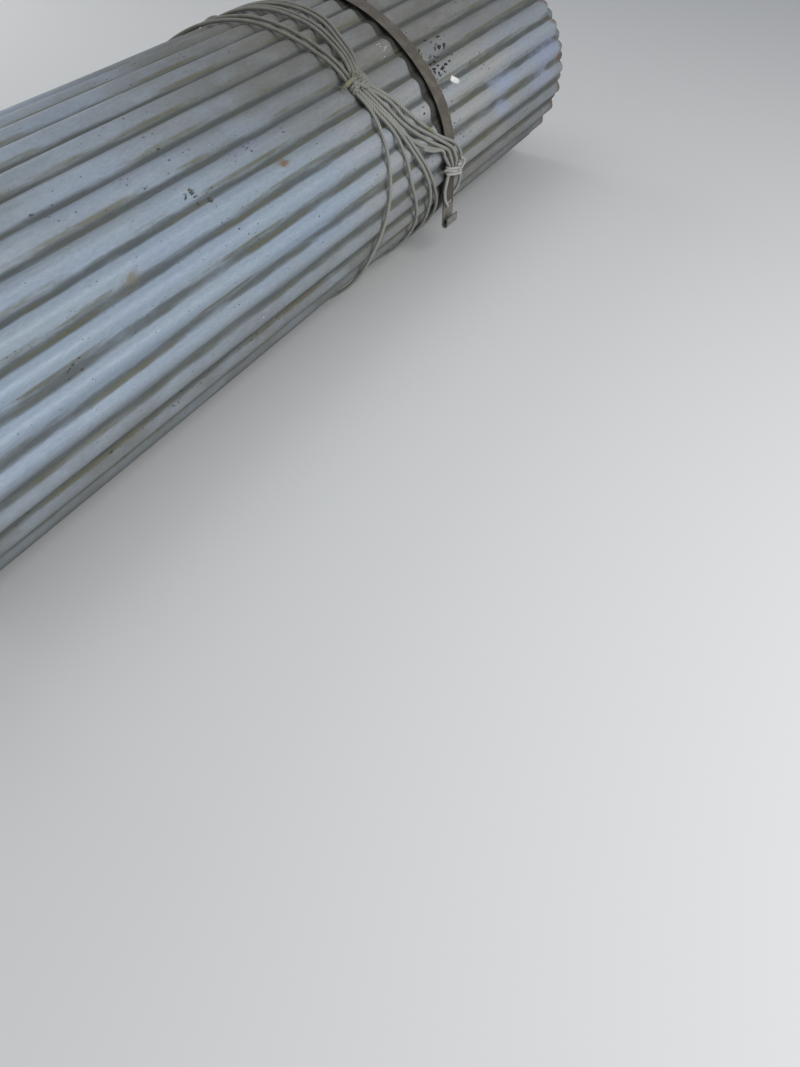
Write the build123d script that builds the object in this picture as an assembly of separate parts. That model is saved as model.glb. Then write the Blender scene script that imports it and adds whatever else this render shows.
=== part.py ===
"""A galvanised corrugated sheet curled into a roll, tied with a webbing strap and a rope.

The roll lies along X with its bore open at both ends, its visible side towards -Y and +Z up.
The origin is the middle of its footprint on the floor. Every length is in millimetres.
"""

import os
from math import acos, atan2, cos, hypot, pi, sin

from build123d import *

# Sheet
SHEET_LENGTH = 3000.0
SHEET_THICKNESS = 0.5
WAVE_PITCH = 76.2
WAVE_DEPTH = 18.0
WAVE_COUNT = 58
# Bend radius of crests and valleys, as a share of the largest that leaves no straight flank
BEND_SHARE = 0.85

# Roll, measured on the mean line of its outer turn
ROLL_WIDTH = 1010.0
ROLL_HEIGHT = 724.0
SIDE_RADIUS_SHARE = 0.449
TURN_STEP = 22.0
EDGE_BEFORE_BOTTOM = 652.0

# Webbing strap, a band with a loose end that is sewn into a loop
STRAP_WIDTH = 55.0
STRAP_THICKNESS = 2.5
STRAP_FROM_FAR_END = 972.0
# How far the band leans towards the far end, per unit of its run across the roll
STRAP_SLANT = 0.14
STRAP_TAIL = 139.0
STRAP_SEAM = 25.0
STRAP_TURN_UP = 62.0
SEWN_SHARE = 0.25

# Flat hook that hangs in the strap's loop
HOOK_LENGTH = 97.0
HOOK_THICKNESS = 4.0
HOOK_THROAT = 14.0
HOOK_LIP = 24.0
HOOK_BAR = 10.0
HOOK_RAIL = 5.0
SLOT_HEIGHT = 20.0
SLOT_CLEARANCE = 2.5

# Rope
ROPE_DIAMETER = 11.0
ROPE_SIDES = 6
KNOT_FROM_FAR_END = 1278.0
KNOT_HEIGHT = 634.0
KNOT_RADIUS = 13.0
KNOT_LENGTH = 88.0
KNOT_SIDES = 8
KNOT_LANE = 10.4
WHIPPING_WIDTH = 56.0
WHIPPING_DEPTH = 22.0
WHIPPING_HEIGHT = 24.0
WHIPPING_ABOVE_SLOT = 123.0
WHIPPING_SHIFT = -8.0

# Room left between pieces that bear on each other
GAP = 0.3

# Each rope turn's place along the roll, as (share of the way round, shift along X in pitches).
# A turn leaves the knot down the visible side and comes back to it over the top.
ROPE_TURNS = (
    (
        (0.00, 0.0), (0.028, 0.23), (0.056, 0.04), (0.083, -0.25), (0.111, -0.62), (0.139, -1.1),
        (0.167, -1.6), (0.25, -2.3), (0.5, -1.7), (0.8, 0.0), (0.944, 0.22), (0.972, 0.29), (1.00, 0.0),
    ),
    (
        (0.00, 0.0), (0.028, 0.29), (0.056, 0.67), (0.083, 0.83), (0.111, 0.95), (0.139, 1.38),
        (0.167, 1.83), (0.194, 1.95), (0.222, 1.8), (0.278, 1.0), (0.5, 0.7), (0.8, 0.5), (0.972, 0.44),
        (1.00, 0.0),
    ),
    (
        (0.00, 0.0), (0.028, 0.35), (0.056, 0.8), (0.083, 1.28), (0.111, 1.93), (0.139, 2.46),
        (0.194, 3.05), (0.25, 3.4), (0.5, 2.3), (0.8, 1.62), (0.917, 1.3), (0.944, 1.05), (0.972, 0.73),
        (1.00, 0.0),
    ),
    (
        (0.00, 0.0), (0.028, 0.41), (0.056, 0.87), (0.083, 1.38), (0.111, 2.06), (0.139, 2.72),
        (0.167, 3.35), (0.194, 3.68), (0.25, 3.66), (0.5, 2.55), (0.8, 1.77), (0.917, 1.43), (0.944, 1.17),
        (0.972, 0.79), (1.00, 0.0),
    ),
)

# The rope's two ends, which go from the knot over the top to a second knot, in the same way
ROPE_ENDS = (
    ((0.00, 0.21), (0.028, 0.92), (0.056, 1.35), (0.083, 1.79), (0.111, 1.98), (0.167, 2.08), (0.25, 2.05)),
    ((0.00, 0.34), (0.028, 1.12), (0.056, 1.59), (0.083, 2.06), (0.111, 2.27), (0.167, 2.36), (0.25, 2.22)),
)
SECOND_KNOT_SHIFT = 1.86

# The strands to the whipping, at the knot and at each crest below it, as
# (share of the way along X, spacing of the strands, height above the crests)
STRAND_COURSE = (
    (0.00, 10.4, 9.0),
    (0.158, 16.0, 0.0),
    (0.327, 24.0, 0.0),
    (0.58, 32.0, 3.2),
    (0.88, 32.0, 6.4),
)
STRAND_COUNT = 4
WHIPPED_SPACING = 12.0

# The rope's loop through the hook, as (across the strap, out from the hook's plate, above the slot)
HOOK_LOOP = (
    (-16.0, 12.0, 123.0),
    (-26.0, 9.5, 92.0),
    (-35.0, 9.5, 52.0),
    (-31.0, 10.0, 18.0),
    (-20.0, 9.5, -2.0),
    (-15.0, 0.0, -3.5),
    (-6.0, -13.0, -3.0),
    (16.0, -14.5, 0.0),
    (36.0, -13.5, 12.0),
    (42.0, -8.0, 30.0),
    (42.0, 2.0, 46.0),
    (32.0, 9.5, 82.0),
    (4.0, 12.0, 123.0),
)
HOOK_LOOP_STATIONS = 18

bend_radius = BEND_SHARE * ((WAVE_PITCH / 2) ** 2 + WAVE_DEPTH**2) / (4 * WAVE_DEPTH)
side_radius = SIDE_RADIUS_SHARE * ROLL_HEIGHT
half_flat = ROLL_WIDTH / 2 - side_radius
head_height = ROLL_HEIGHT - side_radius
top_radius = (half_flat**2 + head_height**2 - side_radius**2) / (2 * (head_height - side_radius))
top_half_turn = atan2(half_flat, top_radius - head_height)
side_turn = pi - top_half_turn
mean_floor = ROPE_DIAMETER + GAP + (WAVE_DEPTH + SHEET_THICKNESS) / 2
far_end = SHEET_LENGTH / 2
knot_x = far_end - KNOT_FROM_FAR_END
strap_x = far_end - STRAP_FROM_FAR_END
crest_reach = bend_radius + SHEET_THICKNESS / 2 + GAP
widest_height = mean_floor + side_radius
slot_height = widest_height - STRAP_TAIL
slot_width = STRAP_WIDTH + 2 * SLOT_CLEARANCE
hook_width = slot_width + 2 * HOOK_RAIL

# Stretches of the mean line as (length, radius), from the flat underside's middle round the visible side
OUTLINE = (
    (half_flat, None),
    (side_radius * side_turn, side_radius),
    (top_radius * 2 * top_half_turn, top_radius),
    (side_radius * side_turn, side_radius),
    (half_flat, None),
)
outline_length = sum(length for length, _ in OUTLINE)


def turned(vector, angle):
    """Return a plane vector turned anticlockwise by an angle."""
    y, z = vector
    return (y * cos(angle) - z * sin(angle), y * sin(angle) + z * cos(angle))


def shifted(point, direction, distance):
    """Return a plane point moved along a direction."""
    return (point[0] + direction[0] * distance, point[1] + direction[1] * distance)


def unit_between(start, end):
    """Return the unit vector from one plane point to another."""
    length = hypot(end[0] - start[0], end[1] - start[1])
    return ((end[0] - start[0]) / length, (end[1] - start[1]) / length)


def middle_ray(first, second):
    """Return the unit vector halfway between two plane vectors."""
    return unit_between((0, 0), (first[0] + second[0], first[1] + second[1]))


def plane_vector(point):
    """Return a plane point as a vector in the YZ plane."""
    return Vector(0, point[0], point[1])


def slanted_vector(point, foot):
    """Return a plane point as a vector in the strap's plane, which leans beyond its foot."""
    return Vector(STRAP_SLANT * (point[0] - foot), point[0], point[1])


def outline_at(distance):
    """Return the point, outward normal and curvature of the mean line at a distance along it."""
    left = distance % outline_length
    point = (0.0, mean_floor)
    heading = pi
    for length, radius in OUTLINE:
        run = min(left, length)
        curvature = 0.0
        if radius is None:
            point = shifted(point, (cos(heading), sin(heading)), run)
        else:
            centre = shifted(point, (cos(heading - pi / 2), sin(heading - pi / 2)), radius)
            heading -= run / radius
            point = shifted(centre, (cos(heading + pi / 2), sin(heading + pi / 2)), radius)
            curvature = 1 / radius
        left -= run
        if left <= 0:
            break
    return point, (cos(heading + pi / 2), sin(heading + pi / 2)), curvature


def inset_at(travelled):
    """Return how far inside the outer turn the sheet lies: it moves in down the hidden side."""
    turns, within = divmod(travelled + EDGE_BEFORE_BOTTOM, outline_length)
    leaving = outline_length / 2 + EDGE_BEFORE_BOTTOM
    return TURN_STEP * (turns + max(0.0, within - leaving) / (outline_length - leaving))


def wave_bends():
    """Return every crest and valley as (centre of its bend, outward normal, +1 or -1, distance round)."""
    bends = []
    travelled = -EDGE_BEFORE_BOTTOM
    for index in range(2 * WAVE_COUNT + 1):
        point, normal, curvature = outline_at(travelled)
        inset = inset_at(travelled)
        side = 1 if index % 2 == 0 else -1
        centre = shifted(point, normal, side * (WAVE_DEPTH / 2 - bend_radius) - inset)
        bends.append((centre, normal, side, travelled))
        travelled += WAVE_PITCH / 2 / (1 - inset * curvature)
    return bends


def flank_normal(first, second):
    """Return the outward normal of the straight flank between two neighbouring bends."""
    spacing = hypot(second[0][0] - first[0][0], second[0][1] - first[0][1])
    return turned(unit_between(first[0], second[0]), acos(first[2] * 2 * bend_radius / spacing))


def sheet_face_edges(bends, offset):
    """Return the arcs and flanks of one face of the sheet, offset from its mid-surface."""
    flanks = [flank_normal(first, second) for first, second in zip(bends, bends[1:])]
    edges = []
    for index, (centre, normal, side, _) in enumerate(bends):
        before = flanks[index - 1] if index > 0 else normal
        after = flanks[index] if index < len(flanks) else normal
        radius = side * bend_radius + offset
        rays = (before, middle_ray(before, after), after)
        bend = [plane_vector(shifted(centre, ray, radius)) for ray in rays]
        edges.append(Edge.make_three_point_arc(*bend))
        if index < len(flanks):
            landing = shifted(bends[index + 1][0], after, -side * bend_radius + offset)
            edges.append(Edge.make_line(bend[2], plane_vector(landing)))
    return edges


def corrugated_sheet(bends):
    """Return the sheet as one spiral of tangent bends, drawn out along X."""
    outer = sheet_face_edges(bends, SHEET_THICKNESS / 2)
    inner = sheet_face_edges(bends, -SHEET_THICKNESS / 2)
    cut_edges = [
        Edge.make_line(outer[0] @ 0, inner[0] @ 0),
        Edge.make_line(outer[-1] @ 1, inner[-1] @ 1),
    ]
    section = Face(Wire(outer + inner + cut_edges))
    sheet = Solid.extrude(section, Vector(SHEET_LENGTH, 0, 0))
    return sheet.moved(Location((-far_end, 0, 0)))


def band_crests(bends):
    """Return the bend centres of the crests that a tight band touches, down the visible side first."""
    first = bends[0][3]
    outer = [bend for bend in bends if bend[3] - first < outline_length]
    centres = [centre for centre, _, side, _ in outer if side > 0]
    centres.reverse()
    index = 0
    while index < len(centres):
        before, here, after = centres[index - 1], centres[index], centres[(index + 1) % len(centres)]
        into = unit_between(before, here)
        out = unit_between(here, after)
        if into[0] * out[1] - into[1] * out[0] < -1e-6:
            del centres[index]
            index = max(0, index - 2)
        else:
            index += 1
    return centres


def band_rays(centres):
    """Return the outward normal of the band's straight stretch after each crest."""
    following = centres[1:] + centres[:1]
    return [turned(unit_between(here, after), -pi / 2) for here, after in zip(centres, following)]


def band_wire(centres, reach):
    """Return the closed line of a slanted band that bends round the crests' centres at a reach."""
    rays = band_rays(centres)
    foot = tail_face(centres)
    edges = []
    for index, centre in enumerate(centres):
        before, after = rays[index - 1], rays[index]
        turn = (before, middle_ray(before, after), after)
        corner = [slanted_vector(shifted(centre, ray, reach), foot) for ray in turn]
        if (corner[2] - corner[0]).length > 1e-4:
            edges.append(Edge.make_three_point_arc(*corner))
        else:
            corner[2] = corner[0]
        landing = shifted(centres[(index + 1) % len(centres)], after, reach)
        edges.append(Edge.make_line(corner[2], slanted_vector(landing, foot)))
    return Wire(edges)


def tail_face(centres):
    """Return the Y of the inner face of the strap's loose end, sewn a little way into the band."""
    return min(centre[0] for centre in centres) - crest_reach - STRAP_THICKNESS * (1 - SEWN_SHARE)


def loose_end(front):
    """Return the strap's loose end seen along X: down, round the hook's bar, up and sewn to itself.

    The front is the Y of its outer face, and the gap that the bar fills is a hole in the face.
    """
    seam_top = widest_height + STRAP_SEAM
    bar_foot = slot_height + SLOT_HEIGHT / 2
    bar_head = bar_foot + HOOK_BAR
    bar_room = HOOK_THICKNESS + 2 * GAP
    inner_front = front + STRAP_THICKNESS
    inner_back = inner_front + bar_room
    back = inner_back + STRAP_THICKNESS
    middle = inner_front + bar_room / 2
    sewn = inner_front + STRAP_THICKNESS
    meeting = bar_head + 2 * bar_room
    outer = Wire([
        Edge.make_line((0, front, seam_top), (0, front, bar_foot)),
        Edge.make_three_point_arc(
            (0, front, bar_foot),
            (0, middle, bar_foot - (back - middle)),
            (0, back, bar_foot),
        ),
        Edge.make_line((0, back, bar_foot), (0, back, bar_head)),
        Edge.make_line((0, back, bar_head), (0, sewn, meeting)),
        Edge.make_line((0, sewn, meeting), (0, sewn, bar_head + STRAP_TURN_UP)),
        Edge.make_line((0, sewn, bar_head + STRAP_TURN_UP), (0, inner_front, bar_head + STRAP_TURN_UP)),
        Edge.make_line((0, inner_front, bar_head + STRAP_TURN_UP), (0, inner_front, seam_top)),
        Edge.make_line((0, inner_front, seam_top), (0, front, seam_top)),
    ])
    bar_hole = Wire([
        Edge.make_three_point_arc(
            (0, inner_front, bar_foot),
            (0, middle, bar_foot - bar_room / 2),
            (0, inner_back, bar_foot),
        ),
        Edge.make_line((0, inner_back, bar_foot), (0, inner_back, bar_head)),
        Edge.make_line((0, inner_back, bar_head), (0, inner_front, meeting - bar_room / 2)),
        Edge.make_line((0, inner_front, meeting - bar_room / 2), (0, inner_front, bar_foot)),
    ])
    return Face(outer, [bar_hole])


def webbing_strap(centres):
    """Return the strap: a band round the roll, with its loose end turned up round the bar of the hook."""
    band = Face(band_wire(centres, crest_reach + STRAP_THICKNESS), [band_wire(centres, crest_reach)])
    end = loose_end(tail_face(centres) - STRAP_THICKNESS)
    strap = Solid.extrude(band, Vector(STRAP_WIDTH, 0, 0)) + Solid.extrude(end, Vector(STRAP_WIDTH, 0, 0))
    return strap.moved(Location((strap_x - STRAP_WIDTH / 2, 0, 0)))


def flat_hook(centres):
    """Return the pressed steel hook: a slotted plate that is bent outwards and up at its foot."""
    middle = tail_face(centres) + GAP + HOOK_THICKNESS / 2
    head = slot_height + SLOT_HEIGHT / 2 + HOOK_BAR
    turn = (HOOK_THROAT + HOOK_THICKNESS) / 2
    bend = head - HOOK_LENGTH + turn + HOOK_THICKNESS / 2
    path = Wire([
        Edge.make_line((strap_x, middle, head), (strap_x, middle, bend)),
        Edge.make_three_point_arc(
            (strap_x, middle, bend),
            (strap_x, middle - turn, bend - turn),
            (strap_x, middle - 2 * turn, bend),
        ),
        Edge.make_line((strap_x, middle - 2 * turn, bend), (strap_x, middle - 2 * turn, bend + HOOK_LIP)),
    ])
    start = Plane(origin=path @ 0, x_dir=(1, 0, 0), z_dir=path % 0)
    plate = sweep(start * Rectangle(hook_width, HOOK_THICKNESS), path)
    slot = Box(slot_width, 2 * HOOK_THICKNESS, SLOT_HEIGHT)
    slot = fillet(slot.edges().filter_by(Axis.Y), SLOT_CLEARANCE)
    return plate - slot.moved(Location((strap_x, middle, slot_height)))


def strand(points):
    """Return a plain strand of rope along a line of points, as flat-sided rings joined in order."""
    across = Vector(1, 0, 0)
    rings = []
    last = len(points) - 1
    for index, point in enumerate(points):
        ahead = (points[min(index + 1, last)] - points[max(index - 1, 0)]).normalized()
        across = (across - ahead * across.dot(ahead)).normalized()
        square = Plane(origin=point, x_dir=across, z_dir=ahead)
        rings.append((square * RegularPolygon(ROPE_DIAMETER / 2, ROPE_SIDES)).wire())
    return Solid.make_loft(rings, ruled=True)


def over_crest(centres, index, height):
    """Return the plane point where a rope crosses a crest, its middle at a height above the crest."""
    rays = band_rays(centres)
    before, after = rays[(index - 1) % len(rays)], rays[index % len(rays)]
    ray = middle_ray(before, after)
    mitre = ray[0] * after[0] + ray[1] * after[1]
    return shifted(centres[index % len(centres)], ray, (crest_reach + height) / mitre)


def shift_at(shifts, share):
    """Return the shift along X, in pitches, at a share of the way round."""
    for (low, low_shift), (high, high_shift) in zip(shifts, shifts[1:]):
        if share <= high:
            return low_shift + (high_shift - low_shift) * (share - low) / (high - low)
    return shifts[-1][1]


def rope_turn(centres, knot_crest, shifts, lane):
    """Return one turn of the rope, bridging the valleys from crest to crest, with both ends in the knot."""
    count = len(centres)
    points = []
    for step in range(count + 1):
        lift = KNOT_RADIUS / 6 if step in (0, count) else 0.0
        y, z = over_crest(centres, knot_crest + step, ROPE_DIAMETER / 2 + lift)
        points.append(Vector(knot_x + lane + shift_at(shifts, step / count) * WAVE_PITCH, y, z))
    points[-1] += (points[-2] - points[-1]).normalized() * KNOT_RADIUS / 3
    return strand(points)


def rope_end(centres, knot_crest, shifts, steps):
    """Return one end of the rope, which crosses a number of crests over the top from the knot."""
    points = []
    for step in range(steps + 1):
        lift = KNOT_RADIUS / 4 if step in (0, steps) else 0.0
        y, z = over_crest(centres, knot_crest - step, ROPE_DIAMETER / 2 + lift)
        points.append(Vector(knot_x + shift_at(shifts, step / len(centres)) * WAVE_PITCH, y, z))
    return strand(points)


def bound_knot(centres, crest, x):
    """Return a knot as a flat-sided barrel that lies along X on a crest, drawn in at both ends."""
    y, z = over_crest(centres, crest, KNOT_RADIUS)
    end = KNOT_LENGTH / 2
    drawn_in = KNOT_RADIUS / 3
    shoulder = end - drawn_in
    neck = KNOT_RADIUS - drawn_in
    rings = []
    for along, radius in ((-end, neck), (-shoulder, KNOT_RADIUS), (shoulder, KNOT_RADIUS), (end, neck)):
        upright = Plane(origin=(x + along, y, z), x_dir=(0, 1, 0), z_dir=(1, 0, 0))
        rings.append((upright * RegularPolygon(radius, KNOT_SIDES)).wire())
    return Solid.make_loft(rings, ruled=True)


def whipped_strand(centres, knot_crest, number, whipping):
    """Return one of the strands that run from the knot across the roll into the whipping."""
    lane = number - (STRAND_COUNT - 1) / 2
    points = []
    for step, (share, spacing, lift) in enumerate(STRAND_COURSE):
        y, z = over_crest(centres, knot_crest + step, ROPE_DIAMETER / 2 + lift)
        start = knot_x + KNOT_LANE * STRAND_COUNT / 2 * (1 - share)
        points.append(Vector(start + share * (strap_x - knot_x) + lane * spacing, y, z))
    points.append(whipping + Vector(lane * WHIPPED_SPACING, 0, 0))
    return strand(points)


def hook_loop(hook_face):
    """Return the loop of rope that goes down in front of the strap, through the slot and back up."""
    points = [Vector(strap_x + x, hook_face - out, slot_height + up) for x, out, up in HOOK_LOOP]
    route = Edge.make_spline(points)
    return strand([route @ (station / HOOK_LOOP_STATIONS) for station in range(HOOK_LOOP_STATIONS + 1)])


def tie_rope(centres):
    """Return the rope: its turns round the roll, their knot, and the whipped strands that hold the hook."""
    visible = [index for index, centre in enumerate(centres) if centre[0] < 0 and centre[1] > widest_height]
    knot_crest = min(visible, key=lambda index: abs(centres[index][1] - KNOT_HEIGHT))
    end_steps = round(ROPE_ENDS[0][-1][0] * len(centres))
    second_knot_x = knot_x + SECOND_KNOT_SHIFT * WAVE_PITCH
    hook_face = tail_face(centres) + GAP
    whipping_y = tail_face(centres) - STRAP_THICKNESS - GAP - WHIPPING_DEPTH / 2
    whipping_at = Vector(strap_x + WHIPPING_SHIFT, whipping_y, slot_height + WHIPPING_ABOVE_SLOT)
    whipping = Box(WHIPPING_WIDTH, WHIPPING_DEPTH, WHIPPING_HEIGHT)
    whipping = fillet(whipping.edges().filter_by(Axis.Z), WHIPPING_DEPTH / 3).moved(Location(whipping_at))
    rope = bound_knot(centres, knot_crest, knot_x) + whipping
    rope = rope + bound_knot(centres, knot_crest - end_steps, second_knot_x)
    for number, shifts in enumerate(ROPE_TURNS):
        rope = rope + rope_turn(centres, knot_crest, shifts, (number - len(ROPE_TURNS) + 0.5) * KNOT_LANE)
    for shifts in ROPE_ENDS:
        rope = rope + rope_end(centres, knot_crest, shifts, end_steps)
    for number in range(STRAND_COUNT):
        rope = rope + whipped_strand(centres, knot_crest, number, whipping_at)
    return rope + hook_loop(hook_face)


def main():
    """Write each piece as its own file."""
    bends = wave_bends()
    centres = band_crests(bends)
    pieces = {
        "corrugated_sheet": corrugated_sheet(bends),
        "webbing_strap": webbing_strap(centres),
        "strap_hook": flat_hook(centres),
        "tie_rope": tie_rope(centres),
    }
    os.makedirs("parts", exist_ok=True)
    for name, piece in pieces.items():
        export_step(piece, f"parts/{name}.step")


main()
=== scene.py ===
"""Looks of a corrugated steel sheet that is curled into a roll and tied with a strap and a rope.

Every length is in metres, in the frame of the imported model: X along the roll, the visible side
towards -Y, Z up and the floor at zero.
"""
import logging
import math
from dataclasses import dataclass, field
from enum import Enum
from functools import cached_property
from itertools import accumulate, chain

import bpy
import numpy as np
from numpy.typing import NDArray
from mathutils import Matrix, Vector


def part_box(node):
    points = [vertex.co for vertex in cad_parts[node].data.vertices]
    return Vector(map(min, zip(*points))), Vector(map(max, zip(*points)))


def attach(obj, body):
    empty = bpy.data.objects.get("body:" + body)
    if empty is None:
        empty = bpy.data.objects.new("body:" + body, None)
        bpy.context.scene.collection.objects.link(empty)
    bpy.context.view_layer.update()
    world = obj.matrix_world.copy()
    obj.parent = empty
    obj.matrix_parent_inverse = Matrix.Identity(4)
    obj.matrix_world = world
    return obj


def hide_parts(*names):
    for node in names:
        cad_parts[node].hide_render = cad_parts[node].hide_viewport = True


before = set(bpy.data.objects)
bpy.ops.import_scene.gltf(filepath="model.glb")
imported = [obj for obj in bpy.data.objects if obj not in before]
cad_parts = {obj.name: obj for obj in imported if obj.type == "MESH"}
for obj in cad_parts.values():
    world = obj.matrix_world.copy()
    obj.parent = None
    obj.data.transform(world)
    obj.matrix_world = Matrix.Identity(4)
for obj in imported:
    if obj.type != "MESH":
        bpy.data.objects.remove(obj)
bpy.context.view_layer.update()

Array = NDArray[np.float64]
Indices = NDArray[np.int64]
Colour = tuple[float, float, float]
Place = tuple[float, float, float]
Span = tuple[float, float]
Course = tuple[Span, ...]

LOG = logging.getLogger("corrugated_roll")
BODY = "root"
ALONG = np.array([1.0, 0.0, 0.0])
UPRIGHT = np.array([0.0, 0.0, 1.0])
ASLANT = np.array([0.31, 0.87, 0.38])
MILLIMETRE = 0.001
CURVE_STEPS = 16

# Each rope turn's place along the roll, as (share of the way round, shift along X in pitches).
# A turn leaves the knot down the visible side and comes back to it over the top.
ROPE_TURNS: tuple[Course, ...] = (
    (
        (0.00, 0.0), (0.028, 0.23), (0.056, 0.04), (0.083, -0.25), (0.111, -0.62), (0.139, -1.1),
        (0.167, -1.6), (0.25, -2.3), (0.5, -1.7), (0.8, 0.0), (0.944, 0.22), (0.972, 0.29), (1.00, 0.0),
    ),
    (
        (0.00, 0.0), (0.028, 0.29), (0.056, 0.67), (0.083, 0.83), (0.111, 0.95), (0.139, 1.38),
        (0.167, 1.83), (0.194, 1.95), (0.222, 1.8), (0.278, 1.0), (0.5, 0.7), (0.8, 0.5), (0.972, 0.44),
        (1.00, 0.0),
    ),
    (
        (0.00, 0.0), (0.028, 0.35), (0.056, 0.8), (0.083, 1.28), (0.111, 1.93), (0.139, 2.46), (0.194, 3.05),
        (0.25, 3.4), (0.5, 2.3), (0.8, 1.62), (0.917, 1.3), (0.944, 1.05), (0.972, 0.73), (1.00, 0.0),
    ),
    (
        (0.00, 0.0), (0.028, 0.41), (0.056, 0.87), (0.083, 1.38), (0.111, 2.06), (0.139, 2.72),
        (0.167, 3.35), (0.194, 3.68), (0.25, 3.66), (0.5, 2.55), (0.8, 1.77), (0.917, 1.43), (0.944, 1.17),
        (0.972, 0.79), (1.00, 0.0),
    ),
)

# The rope's two ends, which go from the knot over the top to a second knot, in the same way
ROPE_ENDS: tuple[Course, ...] = (
    ((0.00, 0.21), (0.028, 0.92), (0.056, 1.35), (0.083, 1.79), (0.111, 1.98), (0.167, 2.08), (0.25, 2.05)),
    ((0.00, 0.34), (0.028, 1.12), (0.056, 1.59), (0.083, 2.06), (0.111, 2.27), (0.167, 2.36), (0.25, 2.22)),
)

# The strands to the whipping: each one's places along X at the three crests below the knot, from the
# knot's middle, and its points over the whipping, as (along X, towards the roll, up) from its middle
BRIDLE: tuple[tuple[Place, tuple[Place, ...]], ...] = (
    ((0.024, 0.051, 0.133), ((-0.052, 0.021, 0.074), (-0.038, 0.016, 0.050), (-0.028, 0.011, 0.030))),
    ((0.046, 0.085, 0.178), ((-0.027, 0.016, 0.070), (-0.014, 0.008, 0.044), (-0.010, 0.004, 0.028))),
    ((0.076, 0.110, 0.214), ((-0.006, 0.012, 0.072), (0.005, 0.002, 0.048), (0.008, -0.003, 0.030))),
    ((0.094, 0.146, 0.233), ((0.014, 0.016, 0.080), (0.030, 0.006, 0.062), (0.036, -0.004, 0.038))),
)

# The rope's loop through the hook, as (across the strap, out from its plate, above the slot's middle)
HOOK_LOOP: tuple[Place, ...] = (
    (-0.0360, 0.0180, 0.1290), (-0.0420, 0.0125, 0.0920), (-0.0460, 0.0085, 0.0560),
    (-0.0400, 0.0090, 0.0250), (-0.0240, 0.0100, 0.0000), (-0.0150, 0.0000, -0.0035),
    (-0.0060, -0.0130, -0.0030), (0.0160, -0.0145, 0.0000), (0.0350, -0.0135, 0.0050),
    (0.0480, -0.0060, 0.0180), (0.0520, 0.0040, 0.0380), (0.0480, 0.0120, 0.0620),
    (0.0290, 0.0230, 0.0920), (-0.0100, 0.0330, 0.1290),
)


class Slot(Enum):
    """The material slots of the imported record."""

    SHEET = "galvanised_sheet"
    WEBBING = "webbing"
    ROPE = "rope"


def smooth_step(value: Array, low: Array | float, high: Array | float) -> Array:
    """Return a smooth rise from 0 at low to 1 at high, the cubic 3t^2 - 2t^3."""
    share = np.clip((value - low) / (high - low), 0.0, 1.0)
    return share * share * (3.0 - 2.0 * share)


def plateau(value: Array, rise: tuple[Array | float, ...], fall: tuple[Array | float, ...]) -> Array:
    """Return a share that rises smoothly to 1 between two values and falls to 0 between two more."""
    return smooth_step(value, *rise) * (1.0 - smooth_step(value, *fall))


def unit(vectors: Array) -> Array:
    """Return the vectors of the last axis at length one."""
    return vectors / np.linalg.norm(vectors, axis=-1, keepdims=True)


def travel(path: Array) -> Array:
    """Return the distance travelled along a line at each of its stations."""
    return np.concatenate([[0.0], np.cumsum(np.linalg.norm(np.diff(path, axis=0), axis=1))])


def grid_quads(rows: int, columns: int, closed: bool) -> Indices:
    """Return the faces of a grid whose vertices are numbered row by row.

    Args:
        rows: Vertices along the first parameter.
        columns: Vertices along the second parameter.
        closed: Whether the last column joins the first.

    Returns:
        Four vertex numbers for each face.
    """
    row = np.arange(rows - 1)[:, None]
    column = np.arange(columns if closed else columns - 1)[None, :]
    here = row * columns + column
    beside = row * columns + (column + 1) % columns
    return np.stack([here, beside, beside + columns, here + columns], axis=-1).reshape(-1, 4)


def shell_quads(rows: int, columns: int) -> Indices:
    """Return the faces of a closed shell: a grid, the same grid under it and the edge between them.

    Args:
        rows: Vertices along the first parameter.
        columns: Vertices along the second parameter.

    Returns:
        Four vertex numbers for each face, where the under grid's vertices follow the upper one's.
    """
    under = rows * columns
    rim = np.concatenate([
        np.arange(columns),
        np.arange(2, rows) * columns - 1,
        np.arange(under - 1, under - columns - 1, -1),
        np.arange(rows - 2, 0, -1) * columns,
    ])
    following = np.roll(rim, -1)
    edge = np.stack([rim, rim + under, following + under, following], axis=-1)
    quads = grid_quads(rows, columns, closed=False)
    return np.concatenate([quads[:, ::-1], quads + under, edge])


def smooth_path(controls: Array, spacing: float) -> Array:
    """Return an evenly spaced line through points.

    Between two points it is a cubic whose slope at each point follows the points beside it, half of
    2b + (c - a)t + (2a - 5b + 4c - d)t^2 + (3b - a - 3c + d)t^3 for neighbours a, b, c and d.

    Args:
        controls: The points to pass, in order.
        spacing: The distance between the stations of the line.

    Returns:
        The stations of the line, from the first point to the last.
    """
    ends = np.concatenate([2 * controls[:1] - controls[1:2], controls, 2 * controls[-1:] - controls[-2:-1]])
    a, b, c, d = (ends[start:len(ends) - 3 + start, None, :] for start in range(4))
    t = np.linspace(0.0, 1.0, CURVE_STEPS + 1)[None, :-1, None]
    cubic = 0.5 * (2 * b + (c - a) * t + (2 * a - 5 * b + 4 * c - d) * t**2 + (3 * b - a - 3 * c + d) * t**3)
    line = np.concatenate([cubic.reshape(-1, 3), controls[-1:]])
    travelled = travel(line)
    stations = np.linspace(0.0, travelled[-1], max(3, round(travelled[-1] / spacing) + 1))
    return np.stack([np.interp(stations, travelled, line[:, axis]) for axis in range(3)], axis=1)


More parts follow.
